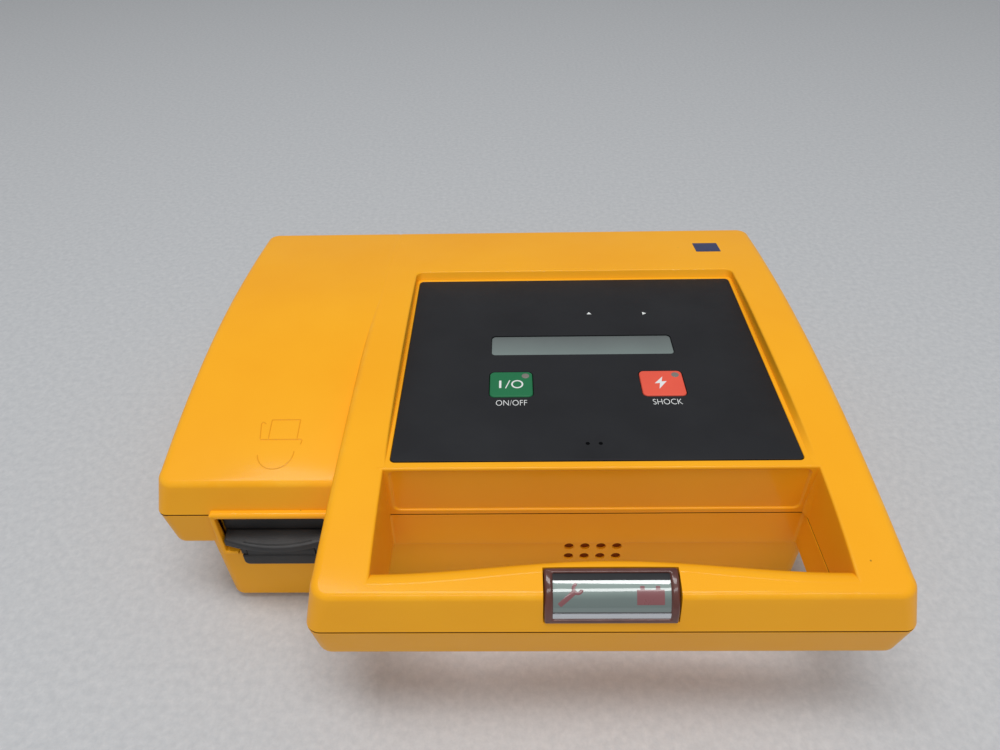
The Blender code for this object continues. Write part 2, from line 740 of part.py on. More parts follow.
def panel(finishes):
    """The black panel with its windows, and what shows through it."""
    half = PANEL_WIDTH / 2
    overlay = solid("panel_overlay", prism(panel_outline(), PANEL_UNDER, PANEL_TOP))
    wide, long = DISPLAY_WIDTH / 2, DISPLAY_LENGTH / 2
    display_y = PANEL_FRONT + DISPLAY_Y
    holes = [box(PANEL_X - wide, PANEL_X + wide, display_y - long, display_y + long, FLOOR_UNDER, OVER)]
    for x, y in key_places().values():
        holes.append(prism(key_outline(x, y, RUN), FLOOR_UNDER, OVER))
    for side in (-1, 1):
        x = PANEL_X + side * MIC_APART / 2
        holes.append(rod(MIC_HOLE, FLOOR_UNDER, OVER, upright(x, PANEL_FRONT + MIC_Y), 8))
    cut(overlay, *holes)
    dress(overlay, finishes["panel"])

    low, high = FLOOR_TOP + GAP, PANEL_TOP - GAP
    for name, grow, z0, z1, finish in (
        ("display_window", -GAP, low, high, "glass"),
        ("display_module", DISPLAY_RIM, KEY_BOARD_TOP + GAP, FLOOR_TOP, "display"),
    ):
        across, along = wide + grow, long + grow
        plate = box(PANEL_X - across, PANEL_X + across, display_y - along, display_y + along, z0, z1)
        solid(name, plate, finishes[finish])
    capsule = rod(MIC_DIAMETER, FLOOR_TOP - MIC_HEIGHT, FLOOR_TOP, upright(PANEL_X, PANEL_FRONT + MIC_Y))
    solid("microphone", capsule, finishes["metal"])

    margin = KEY_BOARD_MARGIN
    board = box(PANEL_X - half + margin, PANEL_X + half - margin, PANEL_FRONT + margin, PANEL_BACK - margin,
                KEY_BOARD_TOP - BOARD, KEY_BOARD_TOP)
    solid("key_board", board, finishes["board"])


def key_outline(x, y, grow=0.0):
    wide, long = KEY_WIDTH / 2 + grow, KEY_LENGTH / 2 + grow
    return rounded(x - wide, x + wide, y - long, y + long, KEY_ROUND)


def key(name, place, finishes, colour):
    """A key cap with the flange that keeps it in, the lamp lens in its corner and the switch below."""
    x, y = place
    rim_top = PANEL_UNDER - GAP
    rim_low = rim_top - KEY_RIM_THICK
    top = PANEL_TOP + KEY_PROUD
    cap = solid(f"{name}_key", prism(key_outline(x, y), rim_low, top))
    add(cap, prism(key_outline(x, y, KEY_RIM), rim_low, rim_top))
    lamp = upright(x + KEY_WIDTH / 2 - LAMP_INSET, y + KEY_LENGTH / 2 - LAMP_INSET)
    cut(cap, rod(LAMP_DIAMETER + 2 * GAP, top - LAMP_DEPTH - GAP, OVER, lamp, 12))
    dress(cap, colour)
    solid(f"{name}_lamp", rod(LAMP_DIAMETER, top - LAMP_DEPTH, top, lamp, 12), finishes["lamp"])
    size = SWITCH_SIZE / 2
    button = rim_low - KEY_TRAVEL - GAP
    switch = box(x - size, x + size, y - size, y + size, KEY_BOARD_TOP + GAP, button)
    solid(f"{name}_switch", switch, finishes["dark"])


def ready_arc(radius, first, last, steps=8):
    """(y, z) points on the readiness display's cylinder, from the top edge round to the front."""
    turns = [math.radians(first + (last - first) * i / steps) for i in range(steps + 1)]
    return [(READY_Y + radius * math.cos(turn), READY_Z + radius * math.sin(turn)) for turn in turns]


def readiness_display(finishes):
    half = READY_WIDTH / 2
    low = READY_Z - READY_GLASS
    quarter = ready_arc(READY_RADIUS, 90, 180) + [(READY_Y - READY_RADIUS, low), (READY_Y, low)]
    bezel = solid("readiness_bezel", swept_x(quarter, MODULE_X - half, MODULE_X + half))
    first, last = 90 + READY_LIP, 180 - READY_LIP
    room = half - READY_CAP
    hub = READY_BOARD_AT - 2 * READY_PLATE
    wedge = ready_arc(2 * READY_RADIUS, first, last) + ready_arc(hub, last, first)
    cut(bezel, swept_x(wedge, MODULE_X - room, MODULE_X + room))
    dress(bezel, finishes["bezel"])

    trim = math.degrees(GAP / READY_RADIUS)
    outer = READY_RADIUS - GAP
    shell = ready_arc(outer, first + trim, last - trim)
    shell += ready_arc(outer - READY_GLASS, last - trim, first + trim)
    solid("readiness_lens", swept_x(shell, MODULE_X - room + GAP, MODULE_X + room - GAP), finishes["glass"])
    spread = math.tan(math.radians(45 - READY_LIP))
    plates = (("readiness_lcd", READY_LCD_AT, "display"), ("readiness_board", READY_BOARD_AT, "board"))
    for name, at, finish in plates:
        across = (at - READY_PLATE / 2) * spread - GAP / math.cos(math.radians(45 - READY_LIP))
        outline = []
        for out, side in ((-1, -1), (1, -1), (1, 1), (-1, 1)):
            reach, slide = at + out * READY_PLATE / 2, side * across
            diagonal = math.sqrt(0.5)
            outline.append((READY_Y - (reach + slide) * diagonal, READY_Z + (reach - slide) * diagonal))
        solid(name, swept_x(outline, MODULE_X - room + GAP, MODULE_X + room - GAP), finishes[finish])
    arm_x = OPEN_RIGHT + CHANNEL
    level = SEAM + CHANNEL / 2
    start_x = PANEL_X + PANEL_WIDTH / 2 - KEY_BOARD_MARGIN - LEAD
    start_y = PANEL_FRONT + 3 * KEY_BOARD_MARGIN
    board_under = KEY_BOARD_TOP - BOARD
    drop = min(board_under, crown_at(start_y) - WALL) - 2 * LEAD  # below the board and the roof
    route = [
        (start_x, start_y, board_under - 2 * GAP),
        (start_x, start_y, drop),
        (arm_x - CHANNEL / 2, start_y, drop),
        (arm_x, FRONT_WALL, level),
        (arm_x, GRIP_Y + ARM_WIDTH, level),
        (arm_x - CHANNEL / 8, GRIP_Y + CHANNEL / 8, level),
        (arm_x - ARM_WIDTH, GRIP_Y, level),
        (MODULE_X + half + LEAD / 2, GRIP_Y, level),
    ]
    lead("readiness_lead", eased(route, 4), LEAD, finishes["dark"])


def battery(finishes):
    x0, x1 = BAY_LEFT + RUN, BAY_RIGHT - RUN
    z0, z1 = BAY_FLOOR + RUN, BAY_TOP - RUN
    body = softened(box(x0, x1, PACK_FRONT, PACK_BACK, z0, z1), UNDER_ROUND / 2)
    solid("battery_pack", body, finishes["pack"])

    face = PACK_FRONT - GAP
    solid("battery_cap", box(x0, x1, face - CAP_THICK, face, z0, z1), finishes["cap"])
    seat = face - CAP_THICK - GAP
    bulge = []
    for i in range(FLANGE_STEPS + 1):
        across = 1 - 2 * i / FLANGE_STEPS
        x = BAY_X + across * ((x1 - x0) / 2 - GAP)
        bulge.append((x, FRONT_WALL - FLANGE_BULGE * (1 - across * across)))
    outline = [(x0 + GAP, seat), (x1 - GAP, seat)] + bulge
    solid("battery_flange", prism(outline, FLANGE_Z, FLANGE_Z + FLANGE_THICK), finishes["cap"])
    knuckle = CATCH_KNUCKLE / 2
    pin_y, pin_z = face - CATCH_THICK, z0 - GAP - knuckle
    half = CATCH_WIDTH / 2
    bore = CATCH_PIN + 2 * GAP
    for end, side in (("left", -1), ("right", 1)):
        near, far = sorted((BAY_X + side * half, BAY_X + side * (half - CATCH_LUG)))
        ear = box(near, far, pin_y - CATCH_PIN, seat, pin_z - CATCH_PIN, z0 + CAP_THICK)
        lug = solid(f"catch_lug_{end}", ear)
        cut(lug, rod(bore, -2 * CATCH_LUG, 2 * CATCH_LUG, along_x(BAY_X + side * half, pin_y, pin_z), 12))
        dress(lug, finishes["cap"])
    solid("catch_pin", rod(CATCH_PIN, -half, half, along_x(BAY_X, pin_y, pin_z), 12), finishes["metal"])

    inner = half - CATCH_LUG - GAP
    latch = solid("battery_catch", rod(CATCH_KNUCKLE, -inner, inner, along_x(BAY_X, pin_y, pin_z), 16))
    front = pin_y - knuckle
    add(latch, box(BAY_X - inner, BAY_X + inner, front, front + CATCH_THICK, CATCH_FOOT, pin_z))
    cut(latch, rod(bore, -half, half, along_x(BAY_X, pin_y, pin_z), 12))
    dress(latch, finishes["cap"])

    end = PACK_BACK + RUN
    mouth = FRONT_WALL + WALL + GAP
    tube = box(BAY_LEFT - WELL_WALL, BAY_RIGHT + WELL_WALL, mouth, end + WELL_WALL,
               BAY_FLOOR - WELL_WALL, BAY_TOP + WELL_WALL)
    well = solid("battery_well", tube)
    wide, tall = TERMINAL_WIDTH / 2, TERMINAL_HEIGHT / 2
    middle = (BAY_FLOOR + BAY_TOP) / 2
    fit_wide, fit_tall = wide + GAP, tall + GAP
    notch, notch_end = half + RUN, FRONT_WALL + 4 * WALL
    cut(
        well,
        box(BAY_LEFT, BAY_RIGHT, FRONT_WALL, end, BAY_FLOOR, BAY_TOP),
        box(BAY_X - fit_wide, BAY_X + fit_wide, end - WALL, end + WALL, middle - fit_tall, middle + fit_tall),
        box(BAY_X - notch, BAY_X + notch, FRONT_WALL, notch_end, BAY_FLOOR - WALL, BAY_FLOOR + RUN),
    )
    dress(well, finishes["dark"])
    terminal = box(BAY_X - wide, BAY_X + wide, end, end + TERMINAL_LENGTH, middle - tall, middle + tall)
    solid("battery_terminals", terminal, finishes["dark"])
    start = (BAY_X + wide - LEAD, end + TERMINAL_LENGTH + 2 * GAP, middle)
    drop = (MAIN_X0 + 2 * LEAD, MAIN_Y1 - 3 * BOARD_POST, MAIN_TOP + 2 * GAP)
    out, over = Vector((0, 3 * LEAD, 0)), Vector((0, 0, 4 * LEAD))
    route = [start, Vector(start) + out, Vector(drop) + over, drop]
    lead("battery_lead", eased(route, 6), LEAD, finishes["red"])


def speaker(finishes):
    wall = BASE_FRONT + WALL + BASE_DRAFT * UNDERSIDE + GAP
    radius = SPEAKER_DIAMETER / 2
    place = along_y(MODULE_X, wall, SPEAKER_Z)
    ring = solid("speaker_gasket", rod(SPEAKER_DIAMETER, 0.0, SPEAKER_GASKET, place))
    cut(ring, rod(SPEAKER_DIAMETER - 4 * SPEAKER_GASKET, -WALL, 2 * WALL, place))
    dress(ring, finishes["rubber"])
    rim, magnet = SPEAKER_GASKET, 0.7 * radius
    start = SPEAKER_GASKET + GAP
    profile = [(radius, start), (radius, start + rim)]
    profile += [(magnet, start + SPEAKER_DEPTH / 2), (magnet, start + SPEAKER_DEPTH)]
    solid("speaker", turned(profile, place), finishes["dark"])


def seated(width, length, height, x, y):
    """A bevelled block of this size standing on the main board."""
    low = MAIN_TOP + GAP
    wide, long = width / 2, length / 2
    return softened(box(x - wide, x + wide, y - long, y + long, low, low + height), PART_EDGE)


def electronics(finishes):
    solid("main_board", box(MAIN_X0, MAIN_X1, MAIN_Y0, MAIN_Y1, MAIN_Z, MAIN_TOP), finishes["board"])
    low = MAIN_TOP + GAP
    radius = CAPACITOR_DIAMETER / 2
    cap_x = MAIN_X1 - AISLE - radius
    cap_y = MAIN_Y1 - AISLE - CAPACITOR_LENGTH
    length, neck = CAPACITOR_LENGTH, radius - PART_EDGE
    can = [(neck, 0.0), (radius, PART_EDGE), (radius, length - PART_EDGE), (neck, length)]
    solid("storage_capacitor", turned(can, along_y(cap_x, cap_y, low + radius)), finishes["capacitor"])
    coil_x = cap_x - radius - AISLE - TRANSFORMER_WIDTH / 2
    coil_y = MAIN_Y1 - AISLE - TRANSFORMER_LENGTH / 2
    coil = seated(TRANSFORMER_WIDTH, TRANSFORMER_LENGTH, TRANSFORMER_HEIGHT, coil_x, coil_y)
    solid("charge_transformer", coil, finishes["core"])
    relay_y = coil_y - TRANSFORMER_LENGTH / 2 - AISLE - RELAY_LENGTH / 2
    solid("output_relay", seated(RELAY_WIDTH, RELAY_LENGTH, RELAY_HEIGHT, coil_x, relay_y), finishes["pack"])
    cell = upright(coil_x - CELL_DIAMETER / 2, relay_y - RELAY_LENGTH / 2 - AISLE - CELL_DIAMETER / 2)
    solid("clock_cell", rod(CELL_DIAMETER, low, low + CELL_HEIGHT, cell), finishes["metal"])

    sink_x = cap_x + radius - SINK_WIDTH
    sink_y = cap_y - AISLE - SINK_DEPTH
    comb = [(sink_x, sink_y), (sink_x + SINK_WIDTH, sink_y)]
    pitch = (SINK_WIDTH - SINK_FIN) / (SINK_FINS - 1)
    for fin in reversed(range(SINK_FINS)):
        x = sink_x + fin * pitch
        comb += [(x + SINK_FIN, sink_y + SINK_DEPTH), (x, sink_y + SINK_DEPTH)]
        if fin:
            comb += [(x, sink_y + SINK_WEB), (x - pitch + SINK_FIN, sink_y + SINK_WEB)]
    comb[2:3] = [(sink_x + SINK_WIDTH, sink_y + SINK_DEPTH)]
    solid("output_bridge_sink", prism(comb, low, low + SINK_HEIGHT), finishes["aluminium"])

    ribbon_x = coil_x - TRANSFORMER_WIDTH / 2 - AISLE - RIBBON_WIDTH
    ribbon_y = MAIN_Y1 - 3 * AISLE
    top = KEY_BOARD_TOP - BOARD - GAP
    fold = AISLE / 2
    run = [(ribbon_y, low), (ribbon_y, low + fold), (ribbon_y - fold, (low + top) / 2)]
    run += [(ribbon_y, top - fold), (ribbon_y, top)]
    outline = run + [(y + RIBBON_THICK, z) for y, z in reversed(run)]
    solid("display_ribbon", swept_x(outline, ribbon_x, ribbon_x + RIBBON_WIDTH), finishes["ribbon"])


def sockets(finishes):
    """The electrode socket and the capped data port in the back of the base."""
    outside = BASE_BACK + GAP
    half, tall = SOCKET_WIDTH / 2, SOCKET_HEIGHT / 2
    inner = outside - SOCKET_DEPTH
    face = outside + SOCKET_FLANGE_THICK
    thin = SOCKET_WALL
    bottom = inner + thin

    def block(grow, y0, y1):
        wide, high = half + grow, tall + grow
        return box(SOCKET_X - wide, SOCKET_X + wide, y0, y1, SOCKET_Z - high, SOCKET_Z + high)

    obj = solid("electrode_socket", block(0.0, inner, face))
    add(obj, block(SOCKET_FLANGE, outside, face))
    cut(obj, block(-thin, bottom, BACK))
    dress(obj, finishes["dark"])
    for name, side in (("left", -1), ("right", 1)):
        place = along_y(SOCKET_X + side * CONTACT_APART / 2, bottom, SOCKET_Z)
        pin = rod(CONTACT_DIAMETER, GAP, face - bottom - 2 * thin, place, 12)
        solid(f"electrode_contact_{name}", pin, finishes["metal"])

    half, tall = PORT_WIDTH / 2, PORT_HEIGHT / 2
    inner = outside - PORT_DEPTH
    port = box(PORT_X - half, PORT_X + half, inner, outside - GAP, SOCKET_Z - tall, SOCKET_Z + tall)
    solid("data_port", port, finishes["metal"])
    edge = WALL / 2
    wide, high = half + edge, tall + edge
    cover = box(PORT_X - wide, PORT_X + wide, outside, outside + PORT_CAP, SOCKET_Z - high, SOCKET_Z + high)
    solid("data_port_cap", softened(cover, edge / 3), finishes["rubber"])


def fasteners(finishes):
    bottom = UNDERSIDE + SCREW_SINK
    neck = bottom + SCREW_HEAD_THICK
    shank, head = SCREW_SHANK / 2, SCREW_HEAD / 2
    profile = [(head, bottom), (head, neck), (shank, neck), (shank, SEAM + SCREW_BITE)]
    for number, (x, y) in enumerate(screw_places(), 1):
        solid(f"case_screw_{number}", turned(profile, upright(x, y), 12), finishes["metal"])
    for number, (x, y) in enumerate(foot_places(), 1):
        pad = rod(FOOT_DIAMETER, 0.0, STAND + FOOT_SEAT, upright(x, y))
        solid(f"foot_{number}", pad, finishes["rubber"])


def build():
    clear_scene()
    finishes = {
        "case": material("case_yellow", (0.90, 0.40, 0.02), 0.45),
        "panel": material("panel_black", (0.012, 0.013, 0.015), 0.5),
        "green": material("key_green", (0.01, 0.22, 0.07), 0.5),
        "orange": material("key_orange", (0.85, 0.09, 0.03), 0.5),
        "lamp": material("lamp_grey", (0.25, 0.25, 0.24), 0.3),
        "glass": material("clear_plastic", (0.75, 0.80, 0.78), 0.1, 0.0, 0.35),
        "display": material("display_grey", (0.38, 0.44, 0.40), 0.3),
        "bezel": material("smoked_brown", (0.09, 0.03, 0.02), 0.2),
        "pack": material("pack_black", (0.015, 0.015, 0.016), 0.55),
        "cap": material("cap_black", (0.02, 0.02, 0.021), 0.6),
        "dark": material("dark_plastic", (0.03, 0.03, 0.03), 0.5),
        "rubber": material("rubber_black", (0.02, 0.02, 0.02), 0.8),
        "metal": material("plated_steel", (0.6, 0.6, 0.6), 0.3, 1.0),
        "aluminium": material("bare_aluminium", (0.75, 0.76, 0.77), 0.35, 1.0),
        "board": material("board_green", (0.02, 0.16, 0.06), 0.5),
        "core": material("core_grey", (0.10, 0.10, 0.11), 0.6),
        "capacitor": material("capacitor_blue", (0.03, 0.06, 0.20), 0.4),
        "ribbon": material("ribbon_grey", (0.45, 0.46, 0.48), 0.5),
        "red": material("lead_red", (0.45, 0.02, 0.02), 0.45),
    }
    upper_case(finishes["case"])
    lower_case(finishes["case"])
    case_seal(finishes["rubber"])
    panel(finishes)
    for name, place in key_places().items():
        key(name, place, finishes, finishes["green" if name == "on_off" else "orange"])
    readiness_display(finishes)
    battery(finishes)
    speaker(finishes)
    electronics(finishes)
    sockets(finishes)
    fasteners(finishes)


build()
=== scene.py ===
# %% [markdown]
# # A portable defibrillator, dressed on its CAD frame
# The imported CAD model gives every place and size. This lesson replaces its faceted shells by smooth moulded
# surfaces, each one a numpy grid, and gives every piece a procedural finish. All shapes are worked out in
# millimetres in the frame of the CAD model and turned into metres at the end.

# %% Load the frame and measure it
import json
import math

import bmesh
import bpy
import numpy as np
from mathutils import Matrix, Vector

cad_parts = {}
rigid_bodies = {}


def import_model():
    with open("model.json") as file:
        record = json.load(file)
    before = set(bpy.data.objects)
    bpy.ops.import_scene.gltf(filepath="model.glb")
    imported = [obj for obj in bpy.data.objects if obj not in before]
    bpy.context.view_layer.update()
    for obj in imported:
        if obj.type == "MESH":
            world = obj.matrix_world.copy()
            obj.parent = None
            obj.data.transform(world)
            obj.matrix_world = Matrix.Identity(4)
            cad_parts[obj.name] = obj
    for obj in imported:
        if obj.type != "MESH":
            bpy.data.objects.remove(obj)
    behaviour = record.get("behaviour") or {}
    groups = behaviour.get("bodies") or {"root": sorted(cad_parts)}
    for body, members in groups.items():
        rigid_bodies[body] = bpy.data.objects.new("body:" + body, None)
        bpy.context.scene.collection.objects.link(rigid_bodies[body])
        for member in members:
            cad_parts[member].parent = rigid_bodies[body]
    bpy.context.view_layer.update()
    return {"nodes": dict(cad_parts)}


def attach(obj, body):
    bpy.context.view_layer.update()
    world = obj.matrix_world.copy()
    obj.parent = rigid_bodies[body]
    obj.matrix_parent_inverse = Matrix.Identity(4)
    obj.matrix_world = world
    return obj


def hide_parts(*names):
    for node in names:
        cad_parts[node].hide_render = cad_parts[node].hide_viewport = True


for left_over in list(bpy.data.objects):
    bpy.data.objects.remove(left_over)
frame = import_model()
MM = 0.001

# %% [markdown]
# ## The camera
# The photograph was taken from above and in front, close to the device, with a wide lens and a slight tilt.
# The numbers come from fitting straight edges of the case. A look direction from yaw and pitch, and a roll
# about it, give the camera's three axes, which go straight into its matrix. Three turns about fixed axes
# would do as well, but their order is easy to mistake.

# %% Camera
EYE = np.array([3.4, -287.0, 309.6])
YAW, PITCH, ROLL = np.radians([-1.35, 38.97, -1.35])

look = np.array([math.sin(YAW) * math.cos(PITCH), math.cos(YAW) * math.cos(PITCH), -math.sin(PITCH)])
level = np.array([math.cos(YAW), -math.sin(YAW), 0.0])
upward = np.cross(level, look)
right_axis = math.cos(ROLL) * level + math.sin(ROLL) * upward
up_axis = -math.sin(ROLL) * level + math.cos(ROLL) * upward

lens = bpy.data.cameras.new("camera")
lens.lens = 27.0
lens.sensor_width = 36.0
lens.sensor_fit = "HORIZONTAL"
camera = bpy.data.objects.new("camera", lens)
bpy.context.scene.collection.objects.link(camera)
axes = np.eye(4)
axes[:3] = np.stack([right_axis, up_axis, -look, EYE * MM], 1)
camera.matrix_world = Matrix(axes.tolist())
bpy.context.scene.camera = camera
print("camera looks along", np.round(look, 3).tolist())

# %% [markdown]
# ## Grids become meshes
# Every new surface is a grid of points. Its faces follow from the number of rows and columns alone: each
# quad joins a point to its right, upper right and upper neighbours. A grid can close on itself in rows, in
# columns or in both: a disc whose last column pinches, a tube whose last row pinches, or a ring. Pushing
# the faces of a box about by hand would also work, but a formula rounds every edge by the same rule.

# %% Grid helpers
SHEET = (False, False)
DISC = (True, False)
TUBE = (False, True)
RING = (True, True)
SHARP = 38.0


def grid_faces(rows, columns, wrap_rows, wrap_columns):
    """Corner numbers of the quads of a rows x columns grid: (r, c), (r, c+1), (r+1, c+1), (r+1, c)."""
    down = np.arange(rows if wrap_rows else rows - 1)
    across = np.arange(columns if wrap_columns else columns - 1)
    r, c = np.meshgrid(down, across, indexing="ij")
    r2, c2 = (r + 1) % rows, (c + 1) % columns
    quads = [r * columns + c, r * columns + c2, r2 * columns + c2, r2 * columns + c]
    return np.stack(quads, -1).reshape(-1, 4)


def settle(mesh, sharp):
    """Merges doubled points, drops flat faces, turns the faces outwards and shades smooth up to an angle."""
    work = bmesh.new()
    work.from_mesh(mesh)
    bmesh.ops.remove_doubles(work, verts=work.verts, dist=2e-6)
    bmesh.ops.dissolve_degenerate(work, edges=work.edges, dist=1e-7)
    bmesh.ops.recalc_face_normals(work, faces=work.faces)
    work.to_mesh(mesh)
    work.free()
    mesh.polygons.foreach_set("use_smooth", np.ones(len(mesh.polygons), bool))
    mesh.set_sharp_from_angle(angle=math.radians(sharp))
    mesh.update()


def make_piece(name, points, closed, finish=None, body="case", sharp=SHARP, **marks):
    """A mesh object from a grid of points in mm. Each mark, one number a point, becomes an attribute."""
    faces = grid_faces(*points.shape[:2], *closed)
    mesh = bpy.data.meshes.new(name)
    mesh.from_pydata((np.asarray(points, float).reshape(-1, 3) * MM).tolist(), [], faces.tolist())
    for mark, values in marks.items():
        numbers = np.asarray(values, np.float32).ravel()
        mesh.attributes.new(mark, "FLOAT", "POINT").data.foreach_set("value", numbers)
    settle(mesh, sharp)
    piece = bpy.data.objects.new(name, mesh)
    bpy.context.scene.collection.objects.link(piece)
    if finish is not None:
        mesh.materials.append(finish)
        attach(piece, body)
        print(f"{name}: {len(mesh.vertices)} points, {len(mesh.polygons)} faces")
    return piece


print("a ring of 4 by 3 points has", len(grid_faces(4, 3, *RING)), "faces")

# %% [markdown]
# ## Cutting holes
# The moulded walls have a few plain openings: the bay of the battery, the speaker holes, the sockets. They
# are cut with boolean modifiers by boxes and rods that are themselves small grids, and the result is kept
# as the mesh. A cutter has no finish and is removed after its cut. Holes worked into the grids themselves
# would bend all their lines.

# %% Cutters
def box_cutter(x0, x1, y0, y1, z0, z1):
    """A box as a grid: four corners as columns, and four rows that pinch at the two ends."""
    ring = np.array([(x0, y0), (x1, y0), (x1, y1), (x0, y1)], float)
    middle = np.tile([(x0 + x1) / 2, (y0 + y1) / 2], (4, 1))
    levels = ((middle, z0), (ring, z0), (ring, z1), (middle, z1))
    rows = [np.c_[plan, np.full(4, z)] for plan, z in levels]
    return make_piece("cutter", np.stack(rows), TUBE)


def rod_cutter(x, y, z, radius, low, high, along="z", steps=32):
    """A rod as a grid: a circle of the radius at both ends, each closed to its centre."""
    turn = np.linspace(0, 2 * np.pi, steps, endpoint=False)
    rows = []
    for share, reach in ((0, low), (1, low), (1, high), (0, high)):
        a = share * radius * np.cos(turn)
        b = share * radius * np.sin(turn)
        c = np.full(steps, reach)
        rows.append(np.stack([x + a, y + b, z + c] if along == "z" else [x + a, y + c, z + b], -1))
    return make_piece("cutter", np.stack(rows), TUBE)


def carve(piece, cutters):
    """Takes the cutters out of the piece one after another, keeps the mesh and removes the cutters."""
    for cutter in cutters:
        knife = piece.modifiers.new("carve", "BOOLEAN")
        knife.operation = "DIFFERENCE"
        knife.solver = "EXACT"
        knife.object = cutter
    graph = bpy.context.evaluated_depsgraph_get()
    cut_mesh = bpy.data.meshes.new_from_object(piece.evaluated_get(graph), depsgraph=graph)
    piece.modifiers.clear()
    piece.data = cut_mesh
    cut_mesh.set_sharp_from_angle(angle=math.radians(SHARP))
    for cutter in cutters:
        bpy.data.objects.remove(cutter)
    print(f"{piece.name} cut by {len(cutters)}: {len(cut_mesh.polygons)} faces")


print("box and rod cutters ready")

# %% [markdown]
# ## Finishes
# A finish is a node tree. A few small helpers keep the trees readable: one adds a node with its settings,
# one starts a tree with its Object coordinates, so that every pattern sits on the piece and keeps its real
# scale in metres, and the others name what a node is for.

# %% Node helpers
def is_socket(value):
    """Whether a value comes from another node."""
    return isinstance(value, bpy.types.NodeSocket)


def add_node(finish, kind, inputs=None, **settings):
    """A shader node with its settings, and its inputs set to numbers or linked to sockets."""
    made = finish.node_tree.nodes.new("ShaderNode" + kind)
    for name, value in settings.items():
        setattr(made, name, value)
    for name, value in (inputs or {}).items():
        if is_socket(value):
            finish.node_tree.links.new(value, made.inputs[name])
        else:
            made.inputs[name].default_value = value
    return made


def start_finish(name, **sockets):
    """A new material, its shader with plain numbers set on it, and the Object coordinates."""
    finish = bpy.data.materials.new(name)
    finish.use_nodes = True
    shader = finish.node_tree.nodes["Principled BSDF"]
    for socket, value in sockets.items():
        shader.inputs[socket.replace("_", " ")].default_value = value
    place = add_node(finish, "TexCoord").outputs["Object"]
    return finish, shader, place


def noise(finish, place, scale, detail=3.0, rough=0.55):
    """Smooth noise with this many bumps a metre."""
    inputs = {"Vector": place, "Scale": scale, "Detail": detail, "Roughness": rough}
    return add_node(finish, "TexNoise", inputs).outputs["Fac"]


def ramp(finish, value, low, high, to_low=0.0, to_high=1.0):
    """Carries the range low..high to to_low..to_high, held at the ends."""
    inputs = {"Value": value, "From Min": low, "From Max": high, "To Min": to_low, "To Max": to_high}
    return add_node(finish, "MapRange", inputs).outputs["Result"]


def blend(finish, share, first, second):
    """Colour that goes from first to second with share."""
    first, second = [value if is_socket(value) else (*value, 1.0) for value in (first, second)]
    return add_node(finish, "Mix", {"Factor": share, 6: first, 7: second}, data_type="RGBA").outputs[2]


def combine(finish, operation, first, second):
    """Sum or product of two values."""
    return add_node(finish, "Math", {0: first, 1: second}, operation=operation).outputs["Value"]


def add_bump(finish, shader, height, distance, strength=1.0):
    """Tilts the shading normal by a height in shares of distance, in metres."""
    made = add_node(finish, "Bump", {"Height": height, "Distance": distance, "Strength": strength})
    wire(finish, made.outputs["Normal"], shader, "Normal")


def wire(finish, value, shader, socket):
    """Links a value to a socket of the shader."""
    finish.node_tree.links.new(value, shader.inputs[socket])


print("helpers for noise, ramps, blends, sums, products and bumps ready")

# %% [markdown]
# ## The yellow case plastic
# The case is moulded in a warm yellow plastic with a fine spark-eroded grain of about half a millimetre.
# Large, faint clouds of colour show where it has aged, the edges are rubbed a little paler and smoother,
# and a few dark specks sit on it. The `wear` number that the shells carry along their rounded edges drives
# the rubbing.

# %% Case plastic
RUBBED_PALE = (1.0, 0.55, 0.05)
SPECK_BROWN = (0.12, 0.06, 0.015)


def case_plastic(name, aged, fresh):
    """Grain and clouds from noise, wear from the edges' own attribute, specks from Voronoi cells."""
    sockets = {"Specular_IOR_Level": 0.12, "Coat_Weight": 0.26, "Coat_Roughness": 0.12}
    finish, shader, place = start_finish(name, **sockets)
    clouds = noise(finish, place, 14.0, 4.0)
    colour = blend(finish, ramp(finish, clouds, 0.32, 0.7), fresh, aged)
    edge = add_node(finish, "Attribute", attribute_name="wear").outputs["Fac"]
    patchy = ramp(finish, noise(finish, place, 90.0, 5.0, 0.7), 0.45, 0.72)
    rubbed = combine(finish, "MULTIPLY", edge, patchy)
    colour = blend(finish, combine(finish, "MULTIPLY", rubbed, 0.4), colour, RUBBED_PALE)
    cells = add_node(finish, "TexVoronoi", {"Vector": place, "Scale": 75.0, "Randomness": 1.0})
    speck = ramp(finish, cells.outputs["Distance"], 0.030, 0.045, 1.0, 0.0)
    rare = ramp(finish, noise(finish, place, 23.0, 2.0), 0.60, 0.63)
    dirt = combine(finish, "MULTIPLY", combine(finish, "MULTIPLY", speck, rare), 0.7)
    wire(finish, blend(finish, dirt, colour, SPECK_BROWN), shader, "Base Color")
    patches = ramp(finish, noise(finish, place, 40.0, 4.0), 0.3, 0.75, 0.42, 0.54)
    gloss = combine(finish, "ADD", patches, combine(finish, "MULTIPLY", rubbed, -0.10))
    wire(finish, gloss, shader, "Roughness")
    add_bump(finish, shader, noise(finish, place, 1700.0, 2.0), 0.00010, 0.5)
    return finish


CASE = case_plastic("case_plastic", (0.95, 0.405, 0.009), (0.985, 0.445, 0.012))
# The moulded lines on the lobe are the same plastic as the case: their darker yellow is painted shade of
# their grooves.
LINE_SHADE_PLASTIC = case_plastic("case_line_painted_shade", (0.80, 0.31, 0.006), (0.86, 0.345, 0.007))
print("case plastic made with", len(CASE.node_tree.nodes), "nodes")

# %% [markdown]
# ## The sizes of the case
# The case is two halves that meet at a seam, a module on the right that carries the handle, and a lower
# lobe on the left for the battery. The top of the module is arched: two parabolas that meet level at the
# crown.

